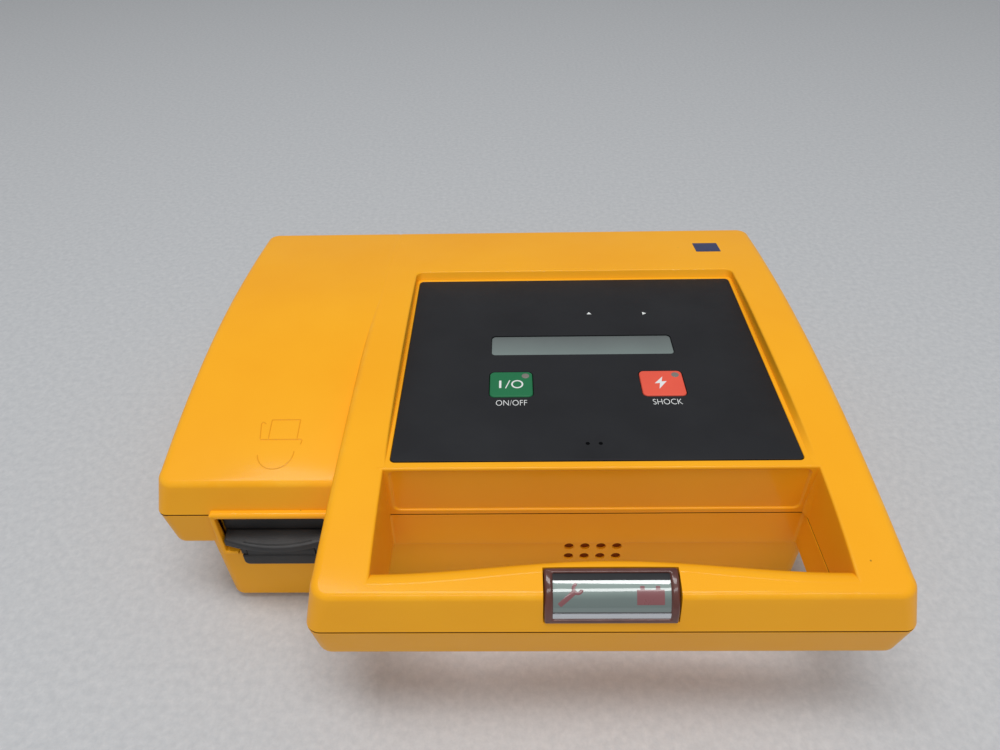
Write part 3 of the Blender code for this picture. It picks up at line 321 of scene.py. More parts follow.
# %% Heights
LEFT = -151.0
RIGHT = 151.0
FRONT = -132.5
BACK = 132.5
ARM_LEFT = -75.0  # left side of the module
FRONT_WALL = -76.0  # under the panel, behind the fingers
UPPER_RIM = 62.9  # lower edge of the upper half
LOWER_RIM = 62.6  # upper edge of the lower half
UNDERSIDE = 42.5  # of the arms and the grip
LEDGE = 90.5  # round the panel
DRAFT = 0.2  # lean of the walls of the upper half
LOBE_DRAFT = 0.08  # lean of the walls of the lower lobe
CROWN_Y = 12.0
CROWN_TOP = 96.77
ARCH_BACK = 740.0
ARCH_FRONT = 600.0


def crown(y):
    """Height of the arched top: its crown less the square of the way from it over twice the arch's radius."""
    way = y - CROWN_Y
    return CROWN_TOP - way * way / (2 * np.where(way > 0, ARCH_BACK, ARCH_FRONT))


def crown_slope(y):
    """Slope of the arched top along y."""
    way = y - CROWN_Y
    return -way / np.where(way > 0, ARCH_BACK, ARCH_FRONT)


def smooth_step(value, low, high):
    """0 below low, 1 above high, and a cubic between them that starts and ends level."""
    share = np.clip((value - low) / (high - low), 0, 1)
    return share * share * (3 - 2 * share)


print("height at front, crown and back:", np.round(crown(np.array([FRONT, CROWN_Y, BACK])), 1).tolist())

# %% [markdown]
# ## Rounded outlines
# The plan of each shell is a rounded rectangle, walked round once as a row of stations, each with the
# direction that points outwards. The top edge of a wall is an outline of its own, drawn in by the lean, so
# the corners never fold.

# %% Outlines
def rounded_loop(x0, x1, y0, y1, corners, counts, corner_steps=14):
    """Stations anticlockwise from the front left: even steps on each side and an arc at each corner.
    corners are the radii front left, front right, back right, back left, and counts go front, right, back,
    left."""
    fl, fr, br, bl = corners
    turn = np.linspace(0, np.pi / 2, corner_steps, endpoint=False)
    sides = (
        ((x0 + fl, y0), (x1 - fr, y0), counts[0], -np.pi / 2, (x1 - fr, y0 + fr), fr),
        ((x1, y0 + fr), (x1, y1 - br), counts[1], 0.0, (x1 - br, y1 - br), br),
        ((x1 - br, y1), (x0 + bl, y1), counts[2], np.pi / 2, (x0 + bl, y1 - bl), bl),
        ((x0, y1 - bl), (x0, y0 + fl), counts[3], np.pi, (x0 + fl, y0 + fl), fl),
    )
    points, normals = [], []
    for start, end, count, heading, centre, radius in sides:
        share = np.linspace(0, 1, count, endpoint=False)[:, None]
        points.append(np.array(start) + share * (np.array(end) - np.array(start)))
        normals.append(np.tile([math.cos(heading), math.sin(heading)], (count, 1)))
        arc = np.stack([np.cos(heading + turn), np.sin(heading + turn)], -1)
        points.append(np.array(centre) + radius * arc)
        normals.append(arc)
    return np.concatenate(points), np.concatenate(normals)


def by_side(normals, front, right, back, left):
    """One value a station, blended by the squares of its direction."""
    nx, ny = normals.T
    parts = [np.minimum(ny, 0), np.maximum(nx, 0), np.maximum(ny, 0), np.minimum(nx, 0)]
    return np.stack(parts, -1) ** 2 @ np.array([front, right, back, left], float)


def drawn_in(plan, corner, counts, top, foot, lean):
    """Virtual top edge over a plan: moved in along y at front and back, and in x by lean times height."""
    x0, x1, y0, y1 = plan
    front = lean * (top(y0) - foot)
    back = lean * (top(y1) - foot)
    loop, _ = rounded_loop(x0, x1, y0 + front, y1 - back, (corner,) * 4, counts)
    middle = (x0 + x1) / 2
    half = (x1 - x0) / 2
    loop[:, 0] = middle + (loop[:, 0] - middle) * (1 - lean * (top(loop[:, 1]) - foot) / half)
    return loop


def lean_between(low, high, facing, rise):
    """How far a wall leans in for each step up: the outward way from its top to its foot over the rise."""
    return np.sum((low - high) * facing, 1) / rise


print("a loop with ten steps a side has", len(rounded_loop(0, 9, 0, 9, (1,) * 4, (10,) * 4)[0]), "stations")

# %% [markdown]
# ## Rounded edges
# Across an edge, every station carries the same kind of profile: a leaning wall, a fillet that touches wall
# and top, and the top. The fillet's centre lies at equal distance from both, which gives its place in one
# line. Each step of a profile, taken at all stations, is one column of the grid. A bevel modifier could
# round the edges too, but it keeps one width, and here the width changes along an edge.

# %% Profiles
EDGE_STEPS = 9  # columns across an outer edge
INNER_STEPS = 7  # columns across an inner edge


def fillet(lean, slope, radius, steps=EDGE_STEPS):
    """Arc between a wall that leans by lean and a top that slopes by slope, measured from their virtual edge.
    With wall normal u and top normal v, the centre is -radius (u + v) / (1 + u.v). Gives outward and upward
    ways."""
    lean, slope, radius = np.broadcast_arrays(np.asarray(lean, float), slope, radius)
    first, last = np.arctan2(lean, 1.0), np.arctan2(1.0, -slope)
    reach = radius / (1 + np.cos(last - first))
    angle = first[:, None] + (last - first)[:, None] * np.linspace(0, 1, steps)
    out = -reach[:, None] * (np.cos(first) + np.cos(last))[:, None] + radius[:, None] * np.cos(angle)
    up = -reach[:, None] * (np.sin(first) + np.sin(last))[:, None] + radius[:, None] * np.sin(angle)
    return out, up


quarter_out, quarter_up = fillet(np.zeros(1), 0.0, 2.0)
print("a quarter circle of 2 mm starts at", np.round([quarter_out[0, 0], quarter_up[0, 0]], 3).tolist())

# %% [markdown]
# The columns of a shell follow one another from the seam: a groove in which the seal lies, a sharp lip with
# a small chamfer, the wall, and the rounded edge. The wear number of the finish runs across the rounded
# edge, where hands and tables rub.

# %% Columns
WALL_STEPS = 5  # columns on a wall, between its edges
FIRST_ARC = 3 + WALL_STEPS  # the first column of the outer edge, after the seam and the wall
GROOVE_BACK = -1.6
SEAL_OUT = -0.14
SEAL_IN = -1.5
SEAL_LOW = 62.3
SEAL_HIGH = 63.2


def along(normals, plan, out, height):
    """Points at the plan moved outwards by out, at this height, as (stations, 3)."""
    moved = plan + normals * np.broadcast_to(np.asarray(out, float), len(plan))[:, None]
    return np.c_[moved, np.broadcast_to(height, len(plan))]


def arc_columns(normals, plan, height, out, up):
    """The columns of a fillet over a plan, one for each of its steps."""
    return [along(normals, plan, out[:, k], height + up[:, k]) for k in range(out.shape[1])]


def between(first, last, steps):
    """Straight way from one set of points to another, without its two ends, as a list of columns."""
    return [first + (last - first) * share for share in np.linspace(0, 1, steps + 2)[1:-1]]


def seam_edge(facing, outline, height, up, lean):
    """The first columns at the seam: deep in the groove, the sharp lip, and a chamfer of 0.15 mm."""
    groove = along(facing, outline, GROOVE_BACK, height + 0.2 * up)
    lip = along(facing, outline, -0.15, height + 0.2 * up)
    return groove, lip, along(facing, outline, -0.35 * lean, height + 0.35 * up)


def seal_ring(facing, outline):
    """The seal in the groove: a band just behind the outline, closed behind it."""
    corners = ((SEAL_OUT, SEAL_LOW), (SEAL_OUT, SEAL_HIGH), (SEAL_IN, SEAL_HIGH), (SEAL_IN, SEAL_LOW))
    return np.stack([along(facing, outline, out, height) for out, height in corners], 1)


def rubbing(columns, *spans):
    """Wear of a grid: a half sine across each span of columns (first, count, amount), nothing elsewhere."""
    worn = np.zeros((len(columns[0]), len(columns)))
    for first, count, amount in spans:
        worn[:, first : first + count] = amount * np.sin(np.linspace(0, np.pi, count))
    return worn


print("the outer edge takes the columns", FIRST_ARC, "to", FIRST_ARC + EDGE_STEPS - 1)

# %% [markdown]
# ## The lines of the handle
# The grip swells towards the fingers, by a squared sine along its length, and rolls over to them. The
# finger opening and the recess of the panel are one inner outline of the module: the line where the grip
# rolls over, straight arms that close in a little towards the back, and the back of the recess.

# %% Lines of the handle
COUNTS = (150, 150, 110, 150)
MODULE = (ARM_LEFT, RIGHT, FRONT, BACK)
OPEN_LEFT = -50.0
OPEN_RIGHT = 126.0
ROLL_START = -124.6
GRIP_BACK = -118.6
ARMS_CLOSE = (-112.0, 20.0)  # from where to where along Y the top edge of the arms closes in
FOOT_CLOSES = (-80.0, -72.0)  # and its foot, which steps in to the ledge of the panel


def swell(x):
    """Share of the grip's swelling at x: the squared sine from one arm to the other."""
    return np.sin(np.pi * np.clip((x - OPEN_LEFT) / (OPEN_RIGHT - OPEN_LEFT), 0, 1)) ** 2


def roll_start(x):
    """Where the top of the grip begins to roll over: early at the arms, late over the readiness display."""
    return ROLL_START + 5.6 * swell(x)


def grip_back(x):
    """The back of the grip, towards the fingers."""
    return GRIP_BACK + 4.4 * swell(x)


def inner_loop(back, corner, closes):
    """Outline of the opening and the recess, whose sides close in by a smooth step along Y."""
    corners = (0.6, 0.6, corner, corner)
    loop, normals = rounded_loop(OPEN_LEFT, OPEN_RIGHT, ROLL_START, back, corners, COUNTS)
    front = np.clip(-normals[:, 1], 0, 1)
    loop[:, 1] += (roll_start(loop[:, 0]) - ROLL_START) * front
    closing = smooth_step(loop[:, 1], *closes)
    left = OPEN_LEFT + 0.8 * closing
    right = OPEN_RIGHT - 3.3 * closing
    loop[:, 0] = left + (loop[:, 0] - OPEN_LEFT) / (OPEN_RIGHT - OPEN_LEFT) * (right - left)
    return loop, normals


print("the grip is", round(float(grip_back(38.0) - FRONT), 1), "mm deep at its middle")

# %% [markdown]
# ## The upper module: arms, grip and the frame round the panel
# This is the large yellow frame of the photograph. It is one ring: a profile carried once round the
# outline, from the seam up the leaning outer wall, over the outer edge, across the arched top, over the
# inner edge and down the inner wall. In front the inner wall is the finger opening and reaches the seam.
# Behind, it is the recess of the panel: leaning sides, and at the back a steep wall that hollows a little
# towards the ledge. A single ring has no joint to hide, so its top shades smoothly all the way round.

# %% Upper module
RECESS_TOP = 69.7
RECESS_FOOT = 67.7
BAND_STEPS = 24  # columns across the arched top
DROP_STEPS = 8  # columns down the inner wall
UNDER_DECK = 88.2

seam, facing = rounded_loop(*MODULE, (6, 6, 6, 6), COUNTS)
seals = [seal_ring(facing, seam)]
edge = drawn_in(MODULE, 8.0, COUNTS, crown, UPPER_RIM, DRAFT)
height = crown(edge[:, 1])
lean = lean_between(seam, edge, facing, height - UPPER_RIM)
radius = by_side(facing, 3.4, 5.0, 5.0, 4.2)
arc_outer = arc_columns(facing, edge, height, *fillet(lean, crown_slope(edge[:, 1]) * facing[:, 1], radius))

hole, hole_facing = inner_loop(RECESS_TOP, 4.2, ARMS_CLOSE)
foot, _ = inner_loop(RECESS_FOOT, 3.0, FOOT_CLOSES)
inward = -hole_facing
in_front = hole[:, 1] < -75.0
foot_height = np.where(in_front, UPPER_RIM + 0.2, LEDGE - 0.05)
height = crown(hole[:, 1])
hollow = by_side(hole_facing, 1.0, 1.0, 1.05, 1.0)
lean = lean_between(foot, hole, inward, height - foot_height) / hollow
radius = by_side(hole_facing, 0.2, 1.0, 0.8, 1.0)
profile = fillet(lean, crown_slope(hole[:, 1]) * inward[:, 1], radius, INNER_STEPS)
arc_inner = arc_columns(inward, hole, height, *profile)[::-1]

brow_end = arc_inner[-1]
drop = []
for share in np.linspace(0, 1, DROP_STEPS + 1)[1:]:
    plan = brow_end[:, :2] + (foot - brow_end[:, :2]) * share
    fall = (brow_end[:, 2] - foot_height) * (1 - (1 - share) ** hollow)
    drop.append(np.c_[plan, brow_end[:, 2] - fall])
tuck = np.where(in_front, -GROOVE_BACK, 0.0)
tucked = along(hole_facing, foot, tuck, np.where(in_front, UPPER_RIM + 0.2, UNDER_DECK))

groove, lip, brow = seam_edge(facing, seam, UPPER_RIM, 1, DRAFT)
band = between(arc_outer[-1], arc_inner[0], BAND_STEPS)
for column in band:
    column[:, 2] = crown(column[:, 1])
wall = between(brow, arc_outer[0], WALL_STEPS)
columns = [groove, lip, brow, *wall, *arc_outer, *band, *arc_inner, *drop, tucked]
inner_arc = FIRST_ARC + EDGE_STEPS + BAND_STEPS
rub = rubbing(columns, (FIRST_ARC, EDGE_STEPS, 1.0), (inner_arc, INNER_STEPS, 0.7))
upper_module = make_piece("upper_module", np.stack(columns, 1), RING, CASE, wear=rub)
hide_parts("upper_case")

# %% [markdown]
# ## The roll of the grip
# The back of the grip is a piece of its own, because its fillet is far wider than the edges of the arms and
# dies into their straight walls: lines across the grip, one beside the other, closed below and at both
# ends. The pocket of the readiness display is cut from the module and from the roll.

# %% Grip roll
ROLL_STEPS = 17
AHEAD = 1.5  # the roll starts this far ahead of its fillet, under the top of the module
READY_POCKET = (13.2, 62.8, -140, -118.1, 67.5, 92)


def closed_ends(rows):
    """The rows between two more, each of them all in the middle of its neighbour, which closes the tube."""
    ends = np.tile(rows.mean(1, keepdims=True), (1, rows.shape[1], 1))
    return np.concatenate([ends[:1], rows, ends[-1:]], 0)


def grip_roll():
    """Lines across the grip: from under the top, over a fillet as wide as the way to the back, to the seam.
    The fillet's radius is that way over the tangent of half the angle that it turns through."""
    x = np.linspace(OPEN_LEFT - 0.6, OPEN_RIGHT + 0.6, 240)
    start = roll_start(x)
    back = grip_back(x)
    slope = crown_slope(start)
    top = crown(start) + slope * (back - start)
    turned = np.pi / 2 + np.arctan(slope) - np.arctan(DRAFT)
    radius = (back - start) * np.hypot(1, slope) / np.tan(turned / 2)
    out, up = fillet(np.full_like(x, DRAFT), slope, radius, ROLL_STEPS)
    lines = [np.stack([x, back + out[:, k], top + up[:, k]], -1) for k in range(ROLL_STEPS - 1, -1, -1)]
    ahead = np.stack([x, start - AHEAD, crown(start - AHEAD) - 0.6], -1)
    rim = np.full_like(x, UPPER_RIM)
    foot = np.stack([x, back + DRAFT * (top - UPPER_RIM), rim], -1)
    inside = np.stack([x, start - AHEAD, rim], -1)
    return closed_ends(np.stack([ahead, *lines, *between(lines[-1], foot, 3), foot, inside], 1))[::-1]


grip = make_piece("grip_roll", grip_roll(), TUBE, CASE)
for piece in (upper_module, grip):
    carve(piece, [box_cutter(*READY_POCKET)])

# %% [markdown]
# ## The upper lobe
# The battery lobe is a cushion-like cap beside the module. Its top is the module's arch less a step that
# grows with the square of the way to the front, so the crease against the arm is sharp in front and fades
# out at the back. Where it runs under the module it dives, so the two surfaces never lie in one another.

# %% Upper lobe
LOBE = (LEFT, -56.0, FRONT_WALL, BACK - 0.06)
LOBE_COUNTS = (70, 150, 70, 150)
SPINE = -103.5
SPINE_MARGIN = 40.0
UNDER_STEPS = 3  # columns of the closed underside, before the seam
LOBE_STEP = 12.5


def lobe_arch(y):
    """The arch less a step that grows with the square of the way to the front."""
    return crown(y) - LOBE_STEP * (np.clip(52.0 - y, 0, None) / 128.0) ** 2


def lobe_top(x, y):
    """The lobe's arch, less a dive where the module covers it."""
    cover = ARM_LEFT + DRAFT * (crown(y) - UPPER_RIM) + 6.2
    return lobe_arch(y) - 0.03 * np.clip(x - cover, 0, None) ** 2


def cap_to_spine(start, spine_x, margin, steps, top):
    """Columns from an edge to a spine along Y in the middle of the piece, at the height that top gives."""
    low = start[:, 1].min() + margin
    high = start[:, 1].max() - margin
    goal = np.stack([np.full(len(start), spine_x), np.clip(start[:, 1], low, high)], -1)
    made = []
    for share in np.linspace(0, 1, steps + 1)[1:]:
        plan = start[:, :2] + (goal - start[:, :2]) * share
        made.append(np.c_[plan, top(plan[:, 0], plan[:, 1])])
    return made


def flat(height):
    """A top at one height, for cap_to_spine."""
    return lambda x, y: np.full_like(x, height)


seam, facing = rounded_loop(*LOBE, (5, 5, 6, 6), LOBE_COUNTS)
seals.append(seal_ring(facing, seam))
edge = drawn_in(LOBE, 7.5, LOBE_COUNTS, lobe_arch, UPPER_RIM, DRAFT)
height = lobe_top(*edge.T)
lean = lean_between(seam, edge, facing, height - UPPER_RIM)
slope = (lobe_top(*(edge + facing * 0.1).T) - height) / 0.1
arcs = arc_columns(facing, edge, height, *fillet(lean, slope, by_side(facing, 3.6, 5.0, 5.0, 4.5)))
groove, lip, brow = seam_edge(facing, seam, UPPER_RIM, 1, DRAFT)
cap = cap_to_spine(arcs[-1], SPINE, SPINE_MARGIN, 26, lobe_top)
under = cap_to_spine(groove, SPINE, SPINE_MARGIN, UNDER_STEPS, flat(UPPER_RIM))[::-1]
columns = [*under, groove, lip, brow, *between(brow, arcs[0], WALL_STEPS), *arcs, *cap]
rub = rubbing(columns, (UNDER_STEPS + FIRST_ARC, EDGE_STEPS, 1.0))
upper_lobe = make_piece("upper_lobe", np.stack(columns, 1), DISC, CASE, wear=rub)

# %% [markdown]
# ## The deck round the panel
# The panel lies in a shallow pocket with a narrow ledge all round and a shelf in front. The deck is a flat
# ring between two rounded outlines, with a small round edge at the pocket. A plate with a cut would do, but
# its edge would stay sharp.

# %% Deck
DECK_COUNTS = (60, 60, 60, 60)
POCKET_FLOOR = 88.4
DECK_UNDER = 87.0
POCKET_EDGE = 0.3

pocket, pocket_facing = rounded_loop(-47.7, 120.9, -72.3, 65.8, (2.3,) * 4, DECK_COUNTS)
border, _ = rounded_loop(-52.6, 127.2, -75.3, 78.0, (0.5,) * 4, DECK_COUNTS)
columns = [along(pocket_facing, pocket, 0, level) for level in (POCKET_FLOOR, LEDGE - POCKET_EDGE)]
for turn in np.linspace(0, np.pi / 2, 5)[1:]:
    out = POCKET_EDGE * (1 - math.cos(turn))
    up = POCKET_EDGE * (math.sin(turn) - 1)
    columns.append(along(pocket_facing, pocket, out, LEDGE + up))
rim, rim_under = [np.c_[border, np.full(len(border), level)] for level in (LEDGE, DECK_UNDER)]
columns += [*between(columns[-1], rim, 4), rim, rim_under]
make_piece("panel_deck", np.stack(columns, 1), RING, CASE)

# %% [markdown]
# ## The wall under the panel
# Under the shelf stands the front wall with a wide, slightly sunk face. It is a rectangular grid pushed
# back by a smooth step of the distance to a rounded rectangle, with a round edge to the shelf and closed
# behind.

# %% Front wall
WALL_EDGE = 0.9
WALL_BACK = -73.6
SUNK = 0.8
SUNK_FACE = (-48.2, 123.4, 65.0, 89.2)
wall_x = np.linspace(-51.2, 126.6, 430)


def rounded_box_way(x, z, x0, x1, z0, z1, corner):
    """Way to the outline of a rounded rectangle: negative inside, from the folded distance to its corner."""
    a = np.abs(x - (x0 + x1) / 2) - (x1 - x0) / 2 + corner
    b = np.abs(z - (z0 + z1) / 2) - (z1 - z0) / 2 + corner
    return np.hypot(np.maximum(a, 0), np.maximum(b, 0)) + np.minimum(np.maximum(a, b), 0) - corner


def wall_line(y, z):
    """One line of the wall, along X at this depth and height."""
    return np.stack([wall_x, np.full_like(wall_x, y), np.full_like(wall_x, z)], -1)[:, None]


x, z = np.meshgrid(wall_x, np.linspace(UPPER_RIM + 0.2, LEDGE - WALL_EDGE, 120), indexing="ij")
sunk = SUNK * smooth_step(-rounded_box_way(x, z, *SUNK_FACE, 3.2), 0.1, 0.9)
lines = [wall_line(FRONT_WALL - GROOVE_BACK, UPPER_RIM + 0.2), np.stack([x, FRONT_WALL + sunk, z], -1)]
for turn in np.linspace(0, np.pi / 2, 7)[1:]:
    y = FRONT_WALL + WALL_EDGE * (1 - math.cos(turn))
    lines.append(wall_line(y, LEDGE + WALL_EDGE * (math.sin(turn) - 1)))
lines += [wall_line(WALL_BACK, LEDGE - 0.4), wall_line(WALL_BACK, UPPER_RIM + 0.2)]
make_piece("front_wall", closed_ends(np.concatenate(lines, 1)), TUBE, CASE)

# %% [markdown]
# ## The lower half
# Under the seam the same outlines turn over: a flange with arms and grip, the lower lobe with its steeper
# walls, and a base that stands inset below them. They use the same fillet with its height turned down. Their
# openings come later.

# %% Lower module
def under_columns(plan, corners, counts, top, bottom, radius, lean):
    """From the seam down a wall that leans in, round an edge of the radius, to the underside. lean is for the
    sides, for the front and for the back."""
    x0, x1, y0, y1 = plan
    over, ahead, behind = np.array(lean) * (top - bottom)
    outline, facing = rounded_loop(*plan, (corners[0],) * 4, counts)
    low, _ = rounded_loop(x0 + over, x1 - over, y0 + ahead, y1 - behind, (corners[1],) * 4, counts)
    out, up = fillet(lean_between(outline, low, facing, top - bottom), 0.0, radius)
    arcs = arc_columns(facing, low, bottom, out, -up)
    groove, lip, brow = seam_edge(facing, outline, top, -1, max(lean))
    return [groove, lip, brow, *between(brow, arcs[0], WALL_STEPS), *arcs]


outer = under_columns(MODULE, (6.0, 6.6), COUNTS, LOWER_RIM, UNDERSIDE, 4.5, (0.05, 0.17, LOBE_DRAFT))
hole, hole_facing = rounded_loop(-50.4, OPEN_RIGHT, -118.7, FRONT_WALL, (1.5,) * 4, COUNTS)
hole[:, 1] += (grip_back(hole[:, 0]) - GRIP_BACK) * np.clip(-hole_facing[:, 1], 0, 1)
lean = by_side(hole_facing, DRAFT, 0.01, 0.0, 0.01)
out, up = fillet(lean, 0.0, by_side(hole_facing, 2.5, 2.0, 0.8, 2.0), INNER_STEPS)
inner = arc_columns(-hole_facing, hole, UNDERSIDE, out, -up)[::-1]
inner_top = along(-hole_facing, hole, lean * (LOWER_RIM - UNDERSIDE), LOWER_RIM - 0.2)
columns = [*outer, *between(outer[-1], inner[0], 3), *inner, *between(inner[-1], inner_top, 3), inner_top]
rub = rubbing(columns, (FIRST_ARC, EDGE_STEPS, 1.0))
lower_module = make_piece("lower_module", np.stack(columns, 1), RING, CASE, wear=rub)
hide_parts("lower_case")
seals.append(seal_ring(-hole_facing, hole)[::-1])

# %% [markdown]
# The lower lobe and the base are closed shells. Each has the same wall and edge as the flange, and is
# capped above and below by columns that run to a spine in its middle, so no face has many corners.

# %% Lower lobe and base
UNDER_LOBE = 42.1
BASE = (-133, 133, -75, 118.5)
BASE_TOP = 48.5
BASE_UNDER = 1.5


def tub(name, plan, corners, counts, top, bottom, radius, lean, spine_x, margin):
    """A closed shell: its wall and edge by under_columns, capped to a spine at both heights."""
    shell = under_columns(plan, corners, counts, top, bottom, radius, (lean,) * 3)
    above = cap_to_spine(shell[0], spine_x, margin, UNDER_STEPS, flat(top))[::-1]
    below = cap_to_spine(shell[-1], spine_x, margin, 4, flat(bottom))
    columns = [*above, *shell, *below]
    rub = rubbing(columns, (UNDER_STEPS + FIRST_ARC, EDGE_STEPS, 1.0))
    return make_piece(name, np.stack(columns, 1), DISC, CASE, wear=rub)


lobe_sizes = ((5.5, 6.5), LOBE_COUNTS, LOWER_RIM, UNDER_LOBE, 3.0, LOBE_DRAFT, SPINE, SPINE_MARGIN)
base_sizes = ((5.0, 5.6), (120, 90, 120, 90), BASE_TOP, BASE_UNDER, 4.0, 0.02, 0.0, 60.0)
lower_lobe = tub("lower_lobe", LOBE, *lobe_sizes)
base = tub("base", BASE, *base_sizes)

# %% [markdown]
# ## Flat pieces
# Key caps, lamps, the panel film, the display and many small plates are all the same kind of thing: an
# outline with some thickness, whose edges are rounded by quarter circles. One grid makes them: each column
# is the outline at one height, and the first and last columns shrink to the middle, which closes the piece.
# As cutters, such pieces also make openings with round corners.

# %% Flat pieces
def tablet(plan, facing, low, high, soft_low=0.0, soft_high=0.0, dish=0.0, rings=3, steps=6):
    """Columns over a plan: bottom, quarter circle, wall, quarter circle, top, which sinks to its middle."""
    middle = plan.mean(0)

    def level(inset, height, share=0.0):
        """The outline drawn in by inset and then shrunk to the middle by share, at this height."""
        ring = plan - facing * inset
        return np.c_[ring + (middle - ring) * share, np.full(len(plan), height)]

    turns = np.linspace(0, np.pi / 2, steps)
    columns = [level(soft_low, low, 1.0)]
    columns += [level(soft_low * (1 - math.sin(a)), low + soft_low * (1 - math.cos(a))) for a in turns]
    columns += [level(soft_high * (1 - math.cos(a)), high - soft_high * (1 - math.sin(a))) for a in turns]
    columns += [level(soft_high, high - dish * s * (2 - s), s) for s in np.linspace(0, 1, rings + 1)[1:]]
    return np.stack(columns, 1)


def to_front(points):
    """Turns a flat piece upright: its plan is X and Z, and its height runs towards the front."""
    return np.stack([points[..., 0], -points[..., 2], points[..., 1]], -1)


def round_plan(x, y, radius, steps=40):
    """A circle as plan, with its directions."""
    turn = np.linspace(0, 2 * np.pi, steps, endpoint=False)
    facing = np.stack([np.cos(turn), np.sin(turn)], -1)
    return np.array([x, y]) + radius * facing, facing


def box_plan(x0, x1, y0, y1, corner):
    """A rounded rectangle as plan, with a few stations on its straight sides."""
    return rounded_loop(x0, x1, y0, y1, (corner,) * 4, (8, 8, 8, 8), 8)


def plate(name, plan, low, high, finish, body="case", placed=None, sharp=SHARP, **shape):
    """A flat piece over a plan, shaped as tablet says. placed is a function that moves its points."""
    points = tablet(*plan, low, high, **shape)
    return make_piece(name, placed(points) if placed else points, DISC, finish, body, sharp)


def plan_cutter(plan, low, high, placed=None):
    """A cutter over a plan, upright or turned to the front."""
    return plate("cutter", plan, low, high, None, placed=placed)


print("a flat square piece has", tablet(*box_plan(0, 20, 0, 20, 2), 0, 4).shape[:2], "points")

# %% [markdown]
# ## Openings of the lower half
# The bay takes the battery through the front wall into its well; below it a notch frees the catch. Sixteen
# round holes let the speaker out, two openings in the back take the sockets, and the screws and feet have
# their own seats. All of them are plain boxes, rods and one rounded plan, so the cutters are enough.

# %% Openings
BAY_MOUTH = (-125.0, -78.0, -84, -72, 41.0, 62.0)
BAY_WELL = (-126.9, -76.1, -73.0, 92.0, 39.1, 64.5)
NOTCH = rounded_loop(-119.9, -83.1, 29.6, 44.0, (2.8, 2.8, 0.5, 0.5), (8, 8, 8, 8), 8)
SPEAKER = (38, 28.6)
SPEAKER_SPACE = (14, 62, -71.4, -48, 6, 47)
HOLE_WAYS = 7.1 * np.array([-1.5, -0.5, 0.5, 1.5])
HOLE_RADIUS = 2.15
SOCKETS = ((55.7, 84.3, 100.0, 125.0, 18.2, 35.8), (10.7, 29.3, 109.0, 125.0, 22.2, 31.8))
FEET = [(x, y) for x in (-118, 118) for y in (-60, 103.5)]
ARM_SCREWS = ((139.5, -52), (139.5, 106.5), (-66, -104.25), (142, -104.25))
LOBE_SCREWS = ((-139.5, -52), (-139.5, 106.5))


def notch_cutter():
    """The notch of the catch, through the front wall."""
    return plan_cutter(NOTCH, 70, 84, to_front)


def bay_space():
    """Cutters for the mouth of the bay, its well and the notch."""
    return [box_cutter(*BAY_MOUTH), box_cutter(*BAY_WELL), notch_cutter()]


def speaker_holes():
    """A square grid of rods through the front wall."""
    places = [(SPEAKER[0] + across, SPEAKER[1] + up) for across in HOLE_WAYS for up in HOLE_WAYS]
    return [rod_cutter(x, 0, z, HOLE_RADIUS, -80, -66, "y", 20) for x, z in places]


def screw_seats(places):
    """Round seats for the heads of screws, from below."""
    return [rod_cutter(x, y, 0, 3.3, 40, 48, "z", 28) for x, y in places]


carve(lower_lobe, bay_space())
carve(base, bay_space() + [box_cutter(*SPEAKER_SPACE)] + speaker_holes())
foot_seats = [rod_cutter(x, y, 0, 8.3, -4, 2.8, "z", 48) for x, y in FEET]
carve(base, [box_cutter(*socket) for socket in SOCKETS] + foot_seats)
carve(lower_module, screw_seats(ARM_SCREWS))
carve(lower_lobe, screw_seats(LOBE_SCREWS))

# %% [markdown]
# ## The rim of the bay
# A raised frame guides the battery: a round bead along the top, standing in front of the upper half, thin
# walls at the sides and a lip below. It is a ring between two rounded outlines in the plane of the wall,
# with round front edges. Cutting a hole into a block would leave its front edges sharp.

# %% Bay rim
RING_COUNTS = (60, 40, 60, 40)


def ring_columns(outer, inner, fat, soft, back_outer, back_inner, front, steps=8):
    """A frame: the outer wall, a quarter circle to the front, a quarter circle to the inner wall, and that
    wall. outer and inner are plans with their directions; fat and soft are the radii of their edges, given
    front, right, back, left; the heights are measured towards the viewer of the frame."""
    fat = by_side(outer[1], *fat)
    soft = by_side(inner[1], *soft)
    columns = [along(outer[1], outer[0], 0, back_outer)]
    for a in np.linspace(0, np.pi / 2, steps):
        columns.append(along(outer[1], outer[0], -fat * (1 - math.cos(a)), front - fat * (1 - math.sin(a))))
    for a in np.linspace(0, np.pi / 2, steps):
        columns.append(along(inner[1], inner[0], soft * (1 - math.sin(a)), front - soft * (1 - math.cos(a))))
    return np.stack([*columns, along(inner[1], inner[0], 0, back_inner)], 1)


outer = rounded_loop(-127.2, -75.8, 38.8, 65.3, (1.0, 1.0, 1.3, 1.3), RING_COUNTS, 10)
inner = rounded_loop(-125.0, -78.0, 41.0, 62.2, (0.8,) * 4, RING_COUNTS, 10)
rim = ring_columns(outer, inner, (0.6, 0.8, 1.6, 0.8), (0.5, 0.6, 1.3, 0.6), 74.2, 72.6, 78.3)
bay_rim = make_piece("bay_rim", to_front(rim), RING, CASE)
carve(bay_rim, [notch_cutter()])

# %% [markdown]
# ## The other finishes
# The black film of the panel, the coloured keys, the battery's black plastic, rubber and printed ink are
# all moulded or coated materials: two near shades mixed by soft clouds, a gloss that varies a little, and a
# fine grain as bump. One recipe serves them with its own scale each. Metals get streaks instead.

